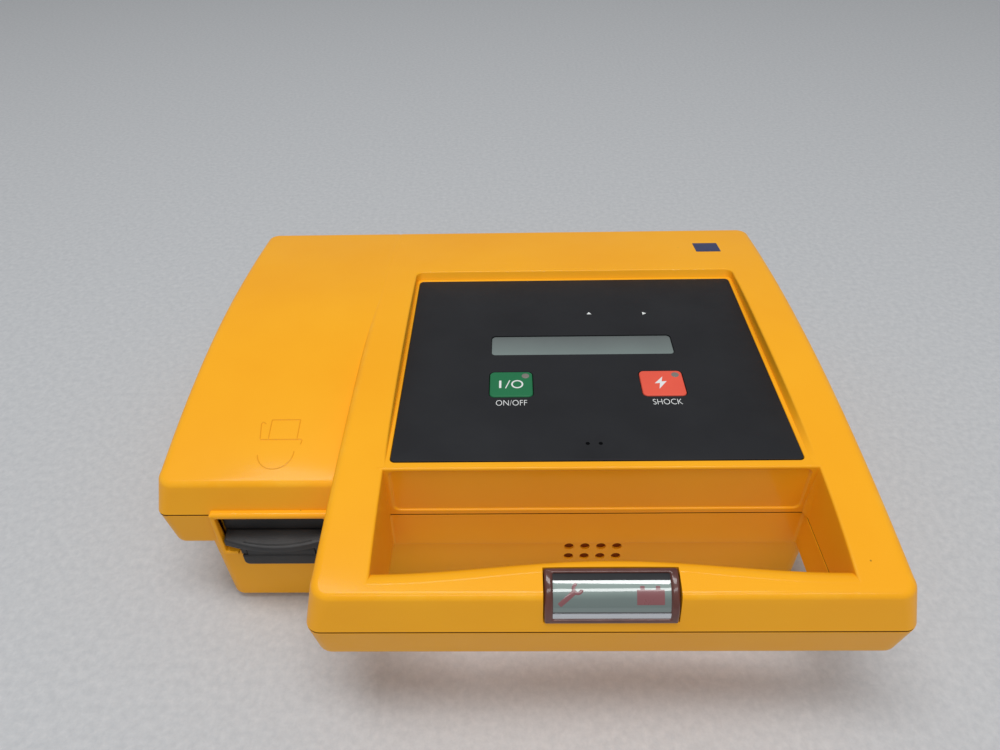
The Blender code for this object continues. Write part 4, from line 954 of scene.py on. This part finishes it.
# %% Recipes
def moulded(name, first, second, gloss, grain, depth, patch=45.0, **sockets):
    """Two shades by clouds, roughness between the two gloss values by finer clouds, and a grain as bump."""
    finish, shader, place = start_finish(name, **sockets)
    clouds = ramp(finish, noise(finish, place, patch, 4.0), 0.3, 0.72)
    wire(finish, blend(finish, clouds, first, second), shader, "Base Color")
    smears = noise(finish, place, patch * 2.3, 5.0, 0.65)
    wire(finish, ramp(finish, smears, 0.3, 0.72, *gloss), shader, "Roughness")
    add_bump(finish, shader, noise(finish, place, grain, 2.0), depth, 0.5)
    return finish


def streaked(name, first, second, gloss):
    """Metal: noise drawn out along one way gives fine lines in colour, gloss and bump."""
    finish, shader, place = start_finish(name, Metallic=1.0)
    drawn = add_node(finish, "Mapping", {"Vector": place, "Scale": (1, 12, 12)}).outputs["Vector"]
    lines = noise(finish, drawn, 150.0, 6.0, 0.7)
    wire(finish, blend(finish, lines, first, second), shader, "Base Color")
    wire(finish, ramp(finish, lines, 0.3, 0.7, *gloss), shader, "Roughness")
    add_bump(finish, shader, lines, 0.00003, 0.4)
    return finish


print("two recipes: moulded and streaked")

# %% [markdown]
# Each finish below gives its two shades, its range of gloss, the number of grains a metre and their height
# in metres. Printed and smoked pieces are a little glossier, or have a clear coat.

# %% Moulded and metal finishes
FILM_SHADES = ((0.013, 0.0135, 0.016), (0.019, 0.020, 0.023))
FILM = moulded("panel_film", *FILM_SHADES, (0.44, 0.6), 2600, 4e-5, 22.0, Specular_IOR_Level=0.22)
GREEN_SHADES = ((0.015, 0.160, 0.064), (0.020, 0.178, 0.073))
GREEN = moulded("key_green", *GREEN_SHADES, (0.42, 0.55), 2200, 5e-5, Specular_IOR_Level=0.2)
ORANGE_SHADES = ((0.77, 0.100, 0.062), (0.83, 0.115, 0.070))
ORANGE = moulded("key_orange", *ORANGE_SHADES, (0.42, 0.55), 2200, 5e-5, Specular_IOR_Level=0.2)
WHITE_INK = moulded("white_ink", (0.74, 0.76, 0.75), (0.84, 0.85, 0.84), (0.45, 0.6), 3000, 2e-5)
LAMP_SHADES = ((0.17, 0.155, 0.135), (0.23, 0.21, 0.185))
LAMP = moulded("lamp_lens", *LAMP_SHADES, (0.25, 0.4), 1500, 3e-5, Coat_Weight=0.5)
BLACK = moulded("battery_black", (0.017, 0.017, 0.018), (0.028, 0.027, 0.027), (0.44, 0.58), 1700, 9e-5)
RUBBER = moulded("rubber_black", (0.014, 0.014, 0.014), (0.024, 0.023, 0.022), (0.7, 0.85), 1200, 1.2e-4)
DARK = moulded("dark_plastic", (0.022, 0.022, 0.023), (0.036, 0.035, 0.035), (0.42, 0.55), 1900, 6e-5)
# The seal band in the seam: a seal lies there, and its dark brown also paints the shade in the seam's groove.
SEAL_AND_SHADE_TONES = ((0.105, 0.036, 0.002), (0.14, 0.048, 0.003))
SEAL_AND_SHADE = moulded("seal_and_seam_shade", *SEAL_AND_SHADE_TONES, (0.65, 0.8), 1400, 5e-5, Specular_IOR_Level=0.1)
# A warm brown sheet that paints the shade deep inside the speaker's holes.
HOLE_SHADE_TONES = ((0.17, 0.038, 0.003), (0.24, 0.055, 0.004))
HOLE_SHADE = moulded("speaker_hole_shade", *HOLE_SHADE_TONES, (0.8, 0.95), 900, 8e-5, Specular_IOR_Level=0.05)
BLUE_SHADES = ((0.010, 0.017, 0.085), (0.016, 0.026, 0.115))
BLUE = moulded("blue_plate", *BLUE_SHADES, (0.3, 0.42), 2600, 2e-5, Coat_Weight=0.3)
SMOKED_SHADES = ((0.085, 0.025, 0.019), (0.135, 0.046, 0.036))
SMOKED_COAT = {"Coat_Weight": 0.7, "Coat_Roughness": 0.08, "Specular_IOR_Level": 0.25}
SMOKED = moulded("smoked_brown", *SMOKED_SHADES, (0.26, 0.38), 900, 3e-5, 120.0, **SMOKED_COAT)
MAROON_SHADES = ((0.215, 0.070, 0.078), (0.25, 0.085, 0.09))
MAROON = moulded("lcd_segment", *MAROON_SHADES, (0.25, 0.35), 2400, 1e-5, Coat_Weight=1.0)
STEEL = streaked("plated_steel", (0.58, 0.58, 0.57), (0.72, 0.72, 0.72), (0.22, 0.38))
SILVER = streaked("silver_strip", (0.62, 0.64, 0.67), (0.78, 0.80, 0.83), (0.16, 0.28))
print("moulded and metal finishes ready")

# %% [markdown]
# ## The panel film and the display
# The control panel is a black film on a plate, with openings for the keys, the display and two small
# microphone holes. It is one flat piece with the openings cut out, because a film has no inner edges to
# round.

# %% Panel film
KEYS = {"on_off": (2.2, -23.5), "shock": (71.0, -23.5)}
KEY_HALF = (9.8, 8.8)
KEY_CORNER = 2.3
KEY_GAP = 0.35
PANEL = (-47.4, 120.6, -72.0, 65.5)
PANEL_UNDER = 89.0
PANEL_TOP = 90.8
THROUGH_PANEL = (86, 94)
MICROPHONE = (36.6, -62.3)


def key_plan(x, y, grow=0.0):
    """Outline of a key at x and y, grown all round."""
    a = KEY_HALF[0] + grow
    b = KEY_HALF[1] + grow
    return box_plan(x - a, x + a, y - b, y + b, KEY_CORNER + grow)


panel_plan = rounded_loop(*PANEL, (2.0,) * 4, DECK_COUNTS)
panel_film = plate("panel_film", panel_plan, PANEL_UNDER, PANEL_TOP, FILM, soft_low=0.1, soft_high=0.25)
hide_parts("panel_overlay")
openings = [plan_cutter(key_plan(x, y, KEY_GAP), *THROUGH_PANEL) for x, y in KEYS.values()]
openings.append(plan_cutter(box_plan(-7.4, 80.6, -1.45, 14.05, 2.3), *THROUGH_PANEL))
for side in (-2.7, 2.7):
    openings.append(rod_cutter(MICROPHONE[0] + side, MICROPHONE[1], 0, 0.9, *THROUGH_PANEL, "z", 20))
carve(panel_film, openings)

# %% [markdown]
# The display is a dark, grey-green plate of liquid crystal a little below the film. Its shade lightens
# towards the user and shows a faint grid of dots, so its finish reads the way along Y and two waves.

# %% Display
DISPLAY_TOP = 90.45


def display_finish():
    """Grey-green that lightens along -Y over the display's length, with two faint waves as grid of dots."""
    sockets = {"Coat_Weight": 0.5, "Coat_Roughness": 0.12, "Roughness": 0.42}
    finish, shader, place = start_finish("display_lcd", **sockets)
    y = add_node(finish, "SeparateXYZ", {"Vector": place}).outputs["Y"]
    uneven = ramp(finish, noise(finish, place, 30.0, 3.0), 0.3, 0.7, -0.002, 0.002)
    level = ramp(finish, combine(finish, "ADD", y, uneven), 0.0135, -0.001)
    colour = blend(finish, level, (0.112, 0.130, 0.128), (0.185, 0.232, 0.222))
    for way in ("X", "Y"):
        wave = add_node(finish, "TexWave", {"Vector": place, "Scale": 520.0}, bands_direction=way)
        faint = ramp(finish, wave.outputs["Fac"], 0.75, 1.0, 0.0, 0.10)
        colour = blend(finish, faint, colour, (0.07, 0.085, 0.082))
    wire(finish, colour, shader, "Base Color")
    add_bump(finish, shader, noise(finish, place, 1500.0, 2.0), 2e-5, 0.3)
    return finish


display_plan = box_plan(-7.1, 80.3, -1.15, 13.75, 2.1)
display_edges = {"soft_low": 0.1, "soft_high": 0.2, "rings": 6}
display = plate("display_plate", display_plan, PANEL_UNDER, DISPLAY_TOP, display_finish(), **display_edges)
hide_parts("display_window")

# %% [markdown]
# ## Keys and lamps
# Each key is a low cap with rounded corners and edges that stands a little above the film; its top is
# dished by a tenth of a millimetre for the finger. A small lamp lens is set into its far right corner as a
# shallow dome, whose height falls with the square of the way from its middle.

# %% Key caps and lamps
KEY_UNDER = 87.4
KEY_TOP = 91.2
KEY_EDGES = {"soft_low": 0.2, "soft_high": 0.7, "dish": 0.12, "rings": 5, "steps": 8}
LAMP_UNDER = 90.2
LAMP_TOP = KEY_TOP + 0.02
LAMP_EDGES = {"soft_high": 0.1, "dish": -0.22, "rings": 6}

for name, finish in (("on_off", GREEN), ("shock", ORANGE)):
    x, y = KEYS[name]
    cap = plate(f"{name}_cap", key_plan(x, y), KEY_UNDER, KEY_TOP, finish, name, **KEY_EDGES)
    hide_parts(f"{name}_key")
    lamp_plan = round_plan(x + 6.6, y + 5.6, 1.75)
    lamp = plate(f"{name}_lens", lamp_plan, LAMP_UNDER, LAMP_TOP, LAMP, name, **LAMP_EDGES)
    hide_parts(f"{name}_lamp")

# %% [markdown]
# ## Legends
# White ink marks the panel and the keys: words under the keys, a bar, stroke and ring on the green key, a
# bolt on the orange one, and two small arrowheads over the display. Words come from Blender's own font,
# made a mesh and then set to their size and place; the signs are flat pieces over a few points.

# %% Words
INK = 0.06  # half the thickness of the ink
INK_SHARP = 30.0


def word_mesh(name, word):
    """A word in Blender's own font as a thin mesh, a little thinner in its strokes than the font."""
    letters = bpy.data.curves.new(name, "FONT")
    letters.body = word
    letters.extrude = 0.02
    letters.offset = -0.014
    letters.resolution_u = 6
    writer = bpy.data.objects.new(name, letters)
    bpy.context.scene.collection.objects.link(writer)
    graph = bpy.context.evaluated_depsgraph_get()
    shape = bpy.data.meshes.new_from_object(writer.evaluated_get(graph), depsgraph=graph)
    bpy.data.objects.remove(writer)
    return shape


def legend(name, word, x, y, width, height):
    """A word on the panel: its own box is carried to the width and height asked for, centred on x and y."""
    shape = word_mesh(name, word)
    points = np.empty(len(shape.vertices) * 3)
    shape.vertices.foreach_get("co", points)
    points = points.reshape(-1, 3)
    low = points.min(0)
    high = points.max(0)
    goal_low = np.array([x - width / 2, y - height / 2, PANEL_TOP - INK])
    goal_high = np.array([x + width / 2, y + height / 2, PANEL_TOP + INK])
    points = goal_low + (points - low) / (high - low) * (goal_high - goal_low)
    shape.vertices.foreach_set("co", (points * MM).ravel())
    settle(shape, INK_SHARP)
    shape.materials.append(WHITE_INK)
    piece = bpy.data.objects.new(name, shape)
    bpy.context.scene.collection.objects.link(piece)
    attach(piece, "case")
    print(f"{name}: {len(shape.polygons)} faces")


legend("word_on_off", "ON/OFF", 2.3, -36.3, 13.8, 3.6)
legend("word_shock", "SHOCK", 71.3, -36.3, 12.9, 3.6)

# %% [markdown]
# The signs need no font. The bar, the stroke, the bolt and the arrowheads are flat pieces over a few
# corners, and the ring is an ellipse carried round a small rectangle.

# %% Signs
KEY_INK = KEY_TOP - INK
RING_MIDDLE = (4.95, -23.8)
RING_RADIUS = 2.75


def sign(name, corners, level, body="case"):
    """A flat sign over straight-sided corners, with no rounding."""
    plan = np.array(corners, float)
    flat_plan = (plan, np.zeros_like(plan))
    plate(name, flat_plan, level - INK, level + INK, WHITE_INK, body, sharp=INK_SHARP, steps=2)


sign("sign_bar", [(-3.3, -26.4), (-2.3, -26.4), (-2.3, -21.2), (-3.3, -21.2)], KEY_INK, "on_off")
sign("sign_stroke", [(-0.6, -26.6), (-0.1, -26.6), (1.8, -21.0), (1.3, -21.0)], KEY_INK, "on_off")
turn = np.linspace(0, 2 * np.pi, 48, endpoint=False)
columns = []
for share, up in ((1, -INK), (1, INK), (0.74, INK), (0.74, -INK)):
    x = RING_MIDDLE[0] + share * RING_RADIUS * np.cos(turn)
    y = RING_MIDDLE[1] + (share * RING_RADIUS + 0.1) * np.sin(turn)
    columns.append(np.stack([x, y, np.full(48, KEY_INK + up)], -1))
make_piece("sign_ring", np.stack(columns, 1), RING, WHITE_INK, "on_off", INK_SHARP)
bolt = [(71.5, -19.2), (67.4, -24.0), (69.8, -23.75), (69.0, -27.8), (73.0, -22.5), (70.7, -22.75)]
sign("sign_bolt", bolt, KEY_INK, "shock")
sign("sign_arrow_up", [(41.1, 32.3), (43.5, 32.3), (42.3, 34.3)], PANEL_TOP)
sign("sign_arrow_right", [(69.6, 31.5), (71.6, 32.7), (69.6, 33.9)], PANEL_TOP)

# %% [markdown]
# ## The readiness display in the grip
# A small display looks out of the rounded front edge of the grip: a quarter cylinder of smoked plastic with
# a curved window. All its pieces are laid out flat, as x and the way along the arc, and then wrapped on the
# cylinder. The frame is a ring with round edges, like the bay's rim. In its window lie a black strip under
# the upper bar, which is painted shadow of that bar, the grey-green crystal, with its segments of a spanner
# and a battery, a black line and a silver strip. The crystal's clear cover is a coat on its finish.

# %% Wrapping
READY_AXIS = (-118.4, 69.03)
READY_RADIUS = 13.8
READY_UNDER = -1.9  # underside of the pieces in the window


def wrap(points):
    """Takes (x, way along the arc, height over the cylinder) to space. The angle from +Y is 90 degrees plus
    the way over the radius."""
    angle = np.pi / 2 + points[..., 1] / READY_RADIUS
    reach = READY_RADIUS + points[..., 2]
    y = READY_AXIS[0] + reach * np.cos(angle)
    z = READY_AXIS[1] + reach * np.sin(angle)
    return np.stack([points[..., 0], y, z], -1)


def way(degrees):
    """Way along the arc from the top of the cylinder to this angle from +Y."""
    return READY_RADIUS * math.radians(degrees - 90.0)


def strip(x0, x1, first, last, high, corner, rows):
    """A bar across the window: a rounded rectangle in x and height, carried round the arc and closed."""
    profile, _ = rounded_loop(x0, x1, READY_UNDER, high, (corner,) * 4, (24, 2, 24, 2), 5)
    points = np.empty((rows, len(profile), 3))
    points[..., 0] = profile[:, 0]
    points[..., 1] = np.linspace(way(first), way(last), rows)[:, None]
    points[..., 2] = profile[:, 1]
    return closed_ends(points)


print("the window is", round(way(176.0) - way(99.0), 1), "mm long round its arc")

# %% [markdown]
# The crystal's shade changes round the arc, so its piece carries the angle of every point as a number of
# its own, and the finish reads that: darker just under the upper bar as painted shadow of that bar, pale
# below it, where the pale band also runs under the lamp's bright line as painted highlight, and black at its
# lower end.

# %% Window of the grip
def crystal_finish():
    """Grey-green by the angle mark: dark under the upper bar as painted shadow, pale below it and partly
    painted highlight under the lamp's line, then a calm mid tone.
    """
    sockets = {"Roughness": 0.3, "Coat_Weight": 1.0, "Coat_IOR": 1.9, "Coat_Roughness": 0.03}
    finish, shader, place = start_finish("readiness_lcd", **sockets)
    angle = add_node(finish, "Attribute", attribute_name="angle").outputs["Fac"]
    uneven = ramp(finish, noise(finish, place, 60.0, 3.0), 0.3, 0.7, -2.0, 2.0)
    level = combine(finish, "ADD", angle, uneven)
    # Below 110 to 114 degrees the dark shade is painted shadow of the upper bar; the pale shade, held to 124
    # and faded by 140 degrees, is partly painted highlight where the lamp's bright line falls.
    colour = blend(finish, ramp(finish, level, 110.0, 114.0), (0.06, 0.085, 0.08), (0.23, 0.31, 0.28))
    colour = blend(finish, ramp(finish, level, 124.0, 140.0), colour, (0.135, 0.180, 0.168))
    colour = blend(finish, ramp(finish, angle, 161.6, 162.0), colour, (0.006, 0.007, 0.008))
    wire(finish, colour, shader, "Base Color")
    add_bump(finish, shader, noise(finish, place, 900.0, 2.0), 1e-5, 0.2)
    return finish


outer = rounded_loop(13.6, 62.4, 0.3, 22.9, (0.8,) * 4, RING_COUNTS, 8)
inner = rounded_loop(16.9, 59.1, way(99.0), way(176.0), (0.6,) * 4, RING_COUNTS, 8)
rim = ring_columns(outer, inner, (0.5, 1.1, 0.5, 1.1), (0.5, 1.2, 0.5, 1.2), -3.0, -1.5, 0.0)
frame_piece = make_piece("readiness_frame", wrap(rim), RING, SMOKED)
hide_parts("readiness_bezel")

# A black strip just under the upper bar of the frame: painted shadow of that bar.
shade = strip(16.2, 59.8, 99.5, 110.6, -0.6, 0.1, 16)
make_piece("readiness_bar_shadow", wrap(shade), TUBE, FILM)
points = strip(16.2, 59.8, 110.6, 164.4, -0.75, 0.1, 48)
angles = 90.0 + np.degrees(points[..., 1] / READY_RADIUS)
crystal = make_piece("readiness_crystal", wrap(points), TUBE, crystal_finish(), angle=angles)
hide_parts("readiness_lens", "readiness_lcd")
silver = strip(16.4, 59.6, 164.6, 175.2, -0.55, 0.3, 20)
make_piece("readiness_strip", wrap(silver), TUBE, SILVER)

# %% [markdown]
# The segments are strokes: an elliptical tube that follows a path, flat enough to look printed, and tapered
# at its two ends. The same tube, a little higher, draws the moulded lines on the lobe and on the battery's
# flange.

# %% Strokes
SEGMENT_LEVEL = -0.74
SEGMENT_UNDER = -0.8
SEGMENT_TOP = -0.69
UPWARD = (0, 0, 1)


def stroke(path, half_width, height, steps=12):
    """An ellipse carried along a path, half_width across it and height upwards, shrunk to a point at both
    ends: its size is the root of 1 less the 40th power of the share of the way from the middle."""
    up = np.broadcast_to(np.asarray(UPWARD, float), np.shape(path))
    ahead = np.gradient(path, axis=0)
    across = np.cross(up, ahead)
    across /= np.linalg.norm(across, axis=1, keepdims=True)
    share = np.linspace(-1, 1, len(path))
    taper = np.sqrt(1 - np.abs(share) ** 40)[:, None, None]
    turn = np.linspace(0, 2 * np.pi, steps, endpoint=False)[None, :, None]
    ring = half_width * np.cos(turn) * across[:, None] + height * np.sin(turn) * up[:, None]
    return path[:, None] + taper * ring


def smooth_path(corners, count=60):
    """Even points along straight runs through the corners."""
    corners = np.asarray(corners, float)
    lengths = np.r_[0, np.cumsum(np.linalg.norm(np.diff(corners, axis=0), axis=1))]
    at = np.linspace(0, lengths[-1], count)
    return np.stack([np.interp(at, lengths, corners[:, k]) for k in range(corners.shape[1])], -1)


def segment(name, path, half_width):
    """A stroke on the crystal, from a path in x and way."""
    path = np.c_[path, np.full(len(path), SEGMENT_LEVEL)]
    make_piece(name, wrap(stroke(path, half_width, 0.07)), TUBE, MAROON)


segment("segment_spanner", smooth_path([(19.0, way(150.0)), (24.8, way(127.5))]), 0.95)
turn = np.radians(np.linspace(100, 350, 40))
segment("segment_jaw", np.c_[25.7 + 1.55 * np.cos(turn), way(123.5) - 1.75 * np.sin(turn)], 0.62)
plan = box_plan(46.9, 56.8, way(125.5), way(149.3), 0.25)
plate("segment_battery", plan, SEGMENT_UNDER, SEGMENT_TOP, MAROON, placed=wrap, rings=10)
for number, x in enumerate((48.9, 54.5), 1):
    plan = box_plan(x - 0.8, x + 0.8, way(119.5), way(126.5), 0.3)
    plate(f"segment_pole_{number}", plan, SEGMENT_UNDER, SEGMENT_TOP, MAROON, placed=wrap, rings=5)

# %% [markdown]
# ## The battery's front
# The battery fills the bay with its black cap. A flange like a D stands out of it for the fingers, with a
# thin raised line along its curved edge, and the catch hangs below as a wide pad with round lower corners.
# The flange is a flat piece over a parabola; the pad is a flat piece turned to the front.

# %% Flange and catch
FLANGE_X = -101.5
FLANGE_HALF = 22.6
FLANGE_BACK = -73.4
FLANGE_LOW = 45.1
FLANGE_HIGH = 50.9
FLANGE_EDGES = {"soft_low": 0.9, "soft_high": 0.8, "dish": 0.25, "rings": 6, "steps": 7}
THINNING = 0.52


def flange_plan(steps=60):
    """Anticlockwise from the left end of the curved front: y falls by a parabola; the back is straight."""
    across = np.linspace(-1, 1, steps)
    curve = np.stack([FLANGE_X + FLANGE_HALF * across, -78.4 - 3.7 * (1 - across**2)], -1)
    back = np.stack([FLANGE_X - FLANGE_HALF * np.linspace(-1, 1, 20), np.full(20, FLANGE_BACK)], -1)
    plan = np.concatenate([curve, back])
    ahead = np.roll(plan, -1, 0) - np.roll(plan, 1, 0)
    facing = np.stack([ahead[:, 1], -ahead[:, 0]], -1)
    return plan, facing / np.linalg.norm(facing, axis=1, keepdims=True)


def thinned(points):
    """Presses points down to the flange's underside: not at the cap, by about half at the outermost edge."""
    share = np.clip((FLANGE_BACK - points[..., 1]) / 8.7, 0, 1)
    height = FLANGE_LOW + (points[..., 2] - FLANGE_LOW) * (1 - THINNING * share)
    return np.concatenate([points[..., :2], height[..., None]], -1)


plan = flange_plan()
flange = plate("flange_grip", plan, FLANGE_LOW, FLANGE_HIGH, BLACK, "battery", thinned, **FLANGE_EDGES)
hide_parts("battery_flange")
across = np.linspace(-0.62, 0.72, 60)
line = np.c_[FLANGE_X + FLANGE_HALF * across, -76.9 - 3.6 * (1 - across**2), np.full(60, FLANGE_HIGH - 0.05)]
make_piece("flange_line", stroke(thinned(line), 0.28, 0.2), TUBE, BLACK, "battery")
pad = rounded_loop(-119.4, -83.6, 30.0, 36.5, (2.4, 2.4, 0.6, 0.6), (16, 8, 16, 8), 8)
plate("catch_pad", pad, 73.2, 76.9, BLACK, "catch", to_front, soft_low=0.3, soft_high=0.7)

# %% [markdown]
# ## Small things on the case
# A dark brown band runs all round the seam, a hair behind the walls: the seal, whose brown also paints the
# shade of the seam's groove. A brown sheet behind the speaker's holes is painted shade for the dark inside of
# the holes, a plain blue plate is stuck on the rear frame, and a sign of fine moulded lines on the lobe shows
# the battery with its flange, in a darker yellow that paints the shade of their grooves. Plate and lines
# follow the curved tops: their heights are added to the height of the surface below them.

# %% Seal, painted hole shade, plate and moulded sign
# Dark brown bands just behind the walls: the seal, whose brown is partly painted shade of the seam's groove.
for number, points in enumerate(seals, 1):
    make_piece(f"seam_seal_and_shade_{number}", points, RING, SEAL_AND_SHADE)


def on_crown(points):
    """Lays a flat piece on the arched top."""
    return points + crown(points[..., 1])[..., None] * np.array(UPWARD)


def lobe_line(name, path):
    """A raised line on the lobe's top along a path in x and y, in a darker yellow that paints the shade of
    its groove.
    """
    line = np.c_[path, lobe_arch(path[:, 1])]
    # The lines' finish is a darker yellow: painted shade of their grooves.
    make_piece(name, stroke(line, 0.26, 0.16, 10), TUBE, LINE_SHADE_PLASTIC)


# Painted shade: a brown sheet behind the speaker's holes darkens their insides.
plate("speaker_hole_shadow_sheet", box_plan(22.0, 54.0, 13.0, 44.5, 1.0), 73.4, 73.7, HOLE_SHADE, placed=to_front)
blue_plan = box_plan(108.5, 122.5, 92.0, 104.2, 0.5)
plate("blue_plate", blue_plan, -0.3, 0.14, BLUE, placed=on_crown, soft_high=0.08, rings=8)

frame_path = [(-103.4, -52.4), (-103.5, -42.6), (-90.9, -42.6), (-90.9, -52.4)]
hook_path = [(-107.0, -52.2), (-107.9, -44.5), (-107.1, -43.7), (-105.6, -44.8)]
turn = np.radians(np.linspace(188, 365, 70))
lobe_line("lobe_line_frame", smooth_path(frame_path, 90))
lobe_line("lobe_line_bar", smooth_path([(-107.1, -52.5), (-88.6, -52.5)], 50))
lobe_line("lobe_line_hook", smooth_path(hook_path, 50))
lobe_line("lobe_line_flange", np.c_[-99.0 + 7.8 * np.cos(turn), -58.6 + 7.7 * np.sin(turn)])
lobe_line("lobe_line_stop", smooth_path([(-88.6, -52.7), (-88.9, -55.0)], 20))

# %% [markdown]
# ## Finishes for the pieces that stay as they are
# The CAD pieces whose shape is already right keep it: sockets, feet, screws, the battery's body and
# everything inside. Their sharp edges get a small bevel from a modifier, and each gets the finish of its
# real material.

# %% Finishes inside
BOARD = moulded("circuit_board", (0.012, 0.10, 0.035), (0.022, 0.15, 0.055), (0.35, 0.5), 700, 6e-5, 160.0)
CORE = moulded("core_grey", (0.075, 0.075, 0.08), (0.12, 0.12, 0.125), (0.5, 0.65), 1100, 1e-4)
SLEEVE = moulded("capacitor_sleeve", (0.022, 0.045, 0.16), (0.032, 0.062, 0.21), (0.28, 0.4), 1500, 3e-5)
RIBBON = moulded("ribbon_grey", (0.34, 0.35, 0.37), (0.46, 0.47, 0.49), (0.42, 0.55), 1300, 4e-5)
RED = moulded("lead_red", (0.36, 0.016, 0.015), (0.46, 0.022, 0.02), (0.38, 0.5), 1500, 3e-5)
BARE = streaked("bare_aluminium", (0.66, 0.67, 0.68), (0.80, 0.81, 0.82), (0.3, 0.45))
print("six finishes for the pieces inside")

# %% [markdown]
# A table says which finish each CAD piece takes, and another how wide its bevel is. A CAD piece is loose
# triangles, so a weld comes before its bevel, and both stay as modifiers over its own mesh.

# %% Dress the CAD pieces
FOOT_NAMES = [f"foot_{n}" for n in range(1, 5)]
SCREW_NAMES = [f"case_screw_{n}" for n in range(1, 7)]
CONTACT_NAMES = ["electrode_contact_left", "electrode_contact_right"]
LUG_NAMES = ["catch_lug_left", "catch_lug_right"]
SWITCH_NAMES = ["on_off_switch", "shock_switch"]
DRESSES = {
    CASE: ["battery_well"],
    BLACK: ["battery_pack", "battery_cap", *LUG_NAMES, "battery_catch", "output_relay"],
    DARK: ["electrode_socket", "battery_terminals", "speaker", "microphone", *SWITCH_NAMES, "readiness_lead"],
    RUBBER: [*FOOT_NAMES, "data_port_cap", "case_seal", "speaker_gasket"],
    STEEL: [*SCREW_NAMES, "catch_pin", "data_port", "clock_cell", *CONTACT_NAMES],
    BOARD: ["key_board", "main_board", "readiness_board"],
    CORE: ["charge_transformer", "display_module"],
    SLEEVE: ["storage_capacitor"],
    RIBBON: ["display_ribbon"],
    RED: ["battery_lead"],
    BARE: ["output_bridge_sink"],
}
BEVELS = {
    0.3: ["data_port_cap", *SCREW_NAMES],
    0.4: ["battery_cap", *LUG_NAMES],
    0.6: FOOT_NAMES,
    0.7: ["electrode_socket"],
    0.9: ["battery_pack"],
}


def bevel_node(node, width):
    """Merges the loose triangles of a CAD piece and rounds its sharp edges, as modifiers on its mesh."""
    weld = node.modifiers.new("weld", "WELD")
    weld.merge_threshold = 1e-6
    bevel = node.modifiers.new("bevel", "BEVEL")
    bevel.width = width * MM
    bevel.segments = 3
    bevel.limit_method = "ANGLE"
    bevel.angle_limit = math.radians(40)


for finish, names in DRESSES.items():
    for name in names:
        node = frame["nodes"][name]
        node.data.materials.clear()
        node.data.materials.append(finish)
for width, names in BEVELS.items():
    for name in names:
        bevel_node(frame["nodes"][name], width)
dressed, bevelled = [sum(map(len, lists.values())) for lists in (DRESSES, BEVELS)]
print(dressed, "CAD pieces dressed,", bevelled, "of them bevelled")

# %% [markdown]
# ## Floor and light
# A plain pale floor fills the view. The light is soft: a long panel overhead, a narrower one above the
# viewer that draws the bright line on the curved window of the grip, and a pale surround. Their sum renders
# a colour about as it is written.

# %% Stage and lights
FLOOR_REACH = 9000.0


def stage_finish():
    """A pale, faintly speckled sheet."""
    finish, shader, place = start_finish("pale_floor", Roughness=0.7)
    flecks = noise(finish, place, 260.0, 4.0, 0.7)
    colour = blend(finish, ramp(finish, flecks, 0.35, 0.7), (0.50, 0.515, 0.535), (0.59, 0.60, 0.615))
    wire(finish, colour, shader, "Base Color")
    add_bump(finish, shader, flecks, 0.0004, 0.25)
    return finish


def soft_panel(name, place, aim, width, depth, power):
    """An area light at place, turned to aim, in metres."""
    lamp = bpy.data.lights.new(name, "AREA")
    lamp.shape = "RECTANGLE"
    lamp.size = width
    lamp.size_y = depth
    lamp.energy = power
    holder = bpy.data.objects.new(name, lamp)
    holder.location = place
    holder.rotation_euler = (Vector(aim) - Vector(place)).to_track_quat("-Z", "Y").to_euler()
    bpy.context.scene.collection.objects.link(holder)


stations = np.linspace(-FLOOR_REACH, FLOOR_REACH, 9)
x, y = np.meshgrid(stations, stations, indexing="ij")
floor = make_piece("floor", np.stack([x, y, np.zeros_like(x)], -1), SHEET)
floor.data.materials.append(stage_finish())

soft_panel("overhead", (-0.1, -0.26, 2.2), (0, 0, 0), 1.8, 0.6, 26.5)
soft_panel("viewer_strip", (0.15, -0.893, 1.117), (0, -0.12, 0.07), 1.1, 0.2, 3.5)
world = bpy.data.worlds.new("surround")
world.use_nodes = True
surround = world.node_tree.nodes["Background"].inputs
surround["Color"].default_value = (0.96, 0.98, 1.0, 1.0)
surround["Strength"].default_value = 0.34
bpy.context.scene.world = world
bpy.context.scene.view_settings.view_transform = "Standard"
print("floor, two soft panels and a pale surround in place")
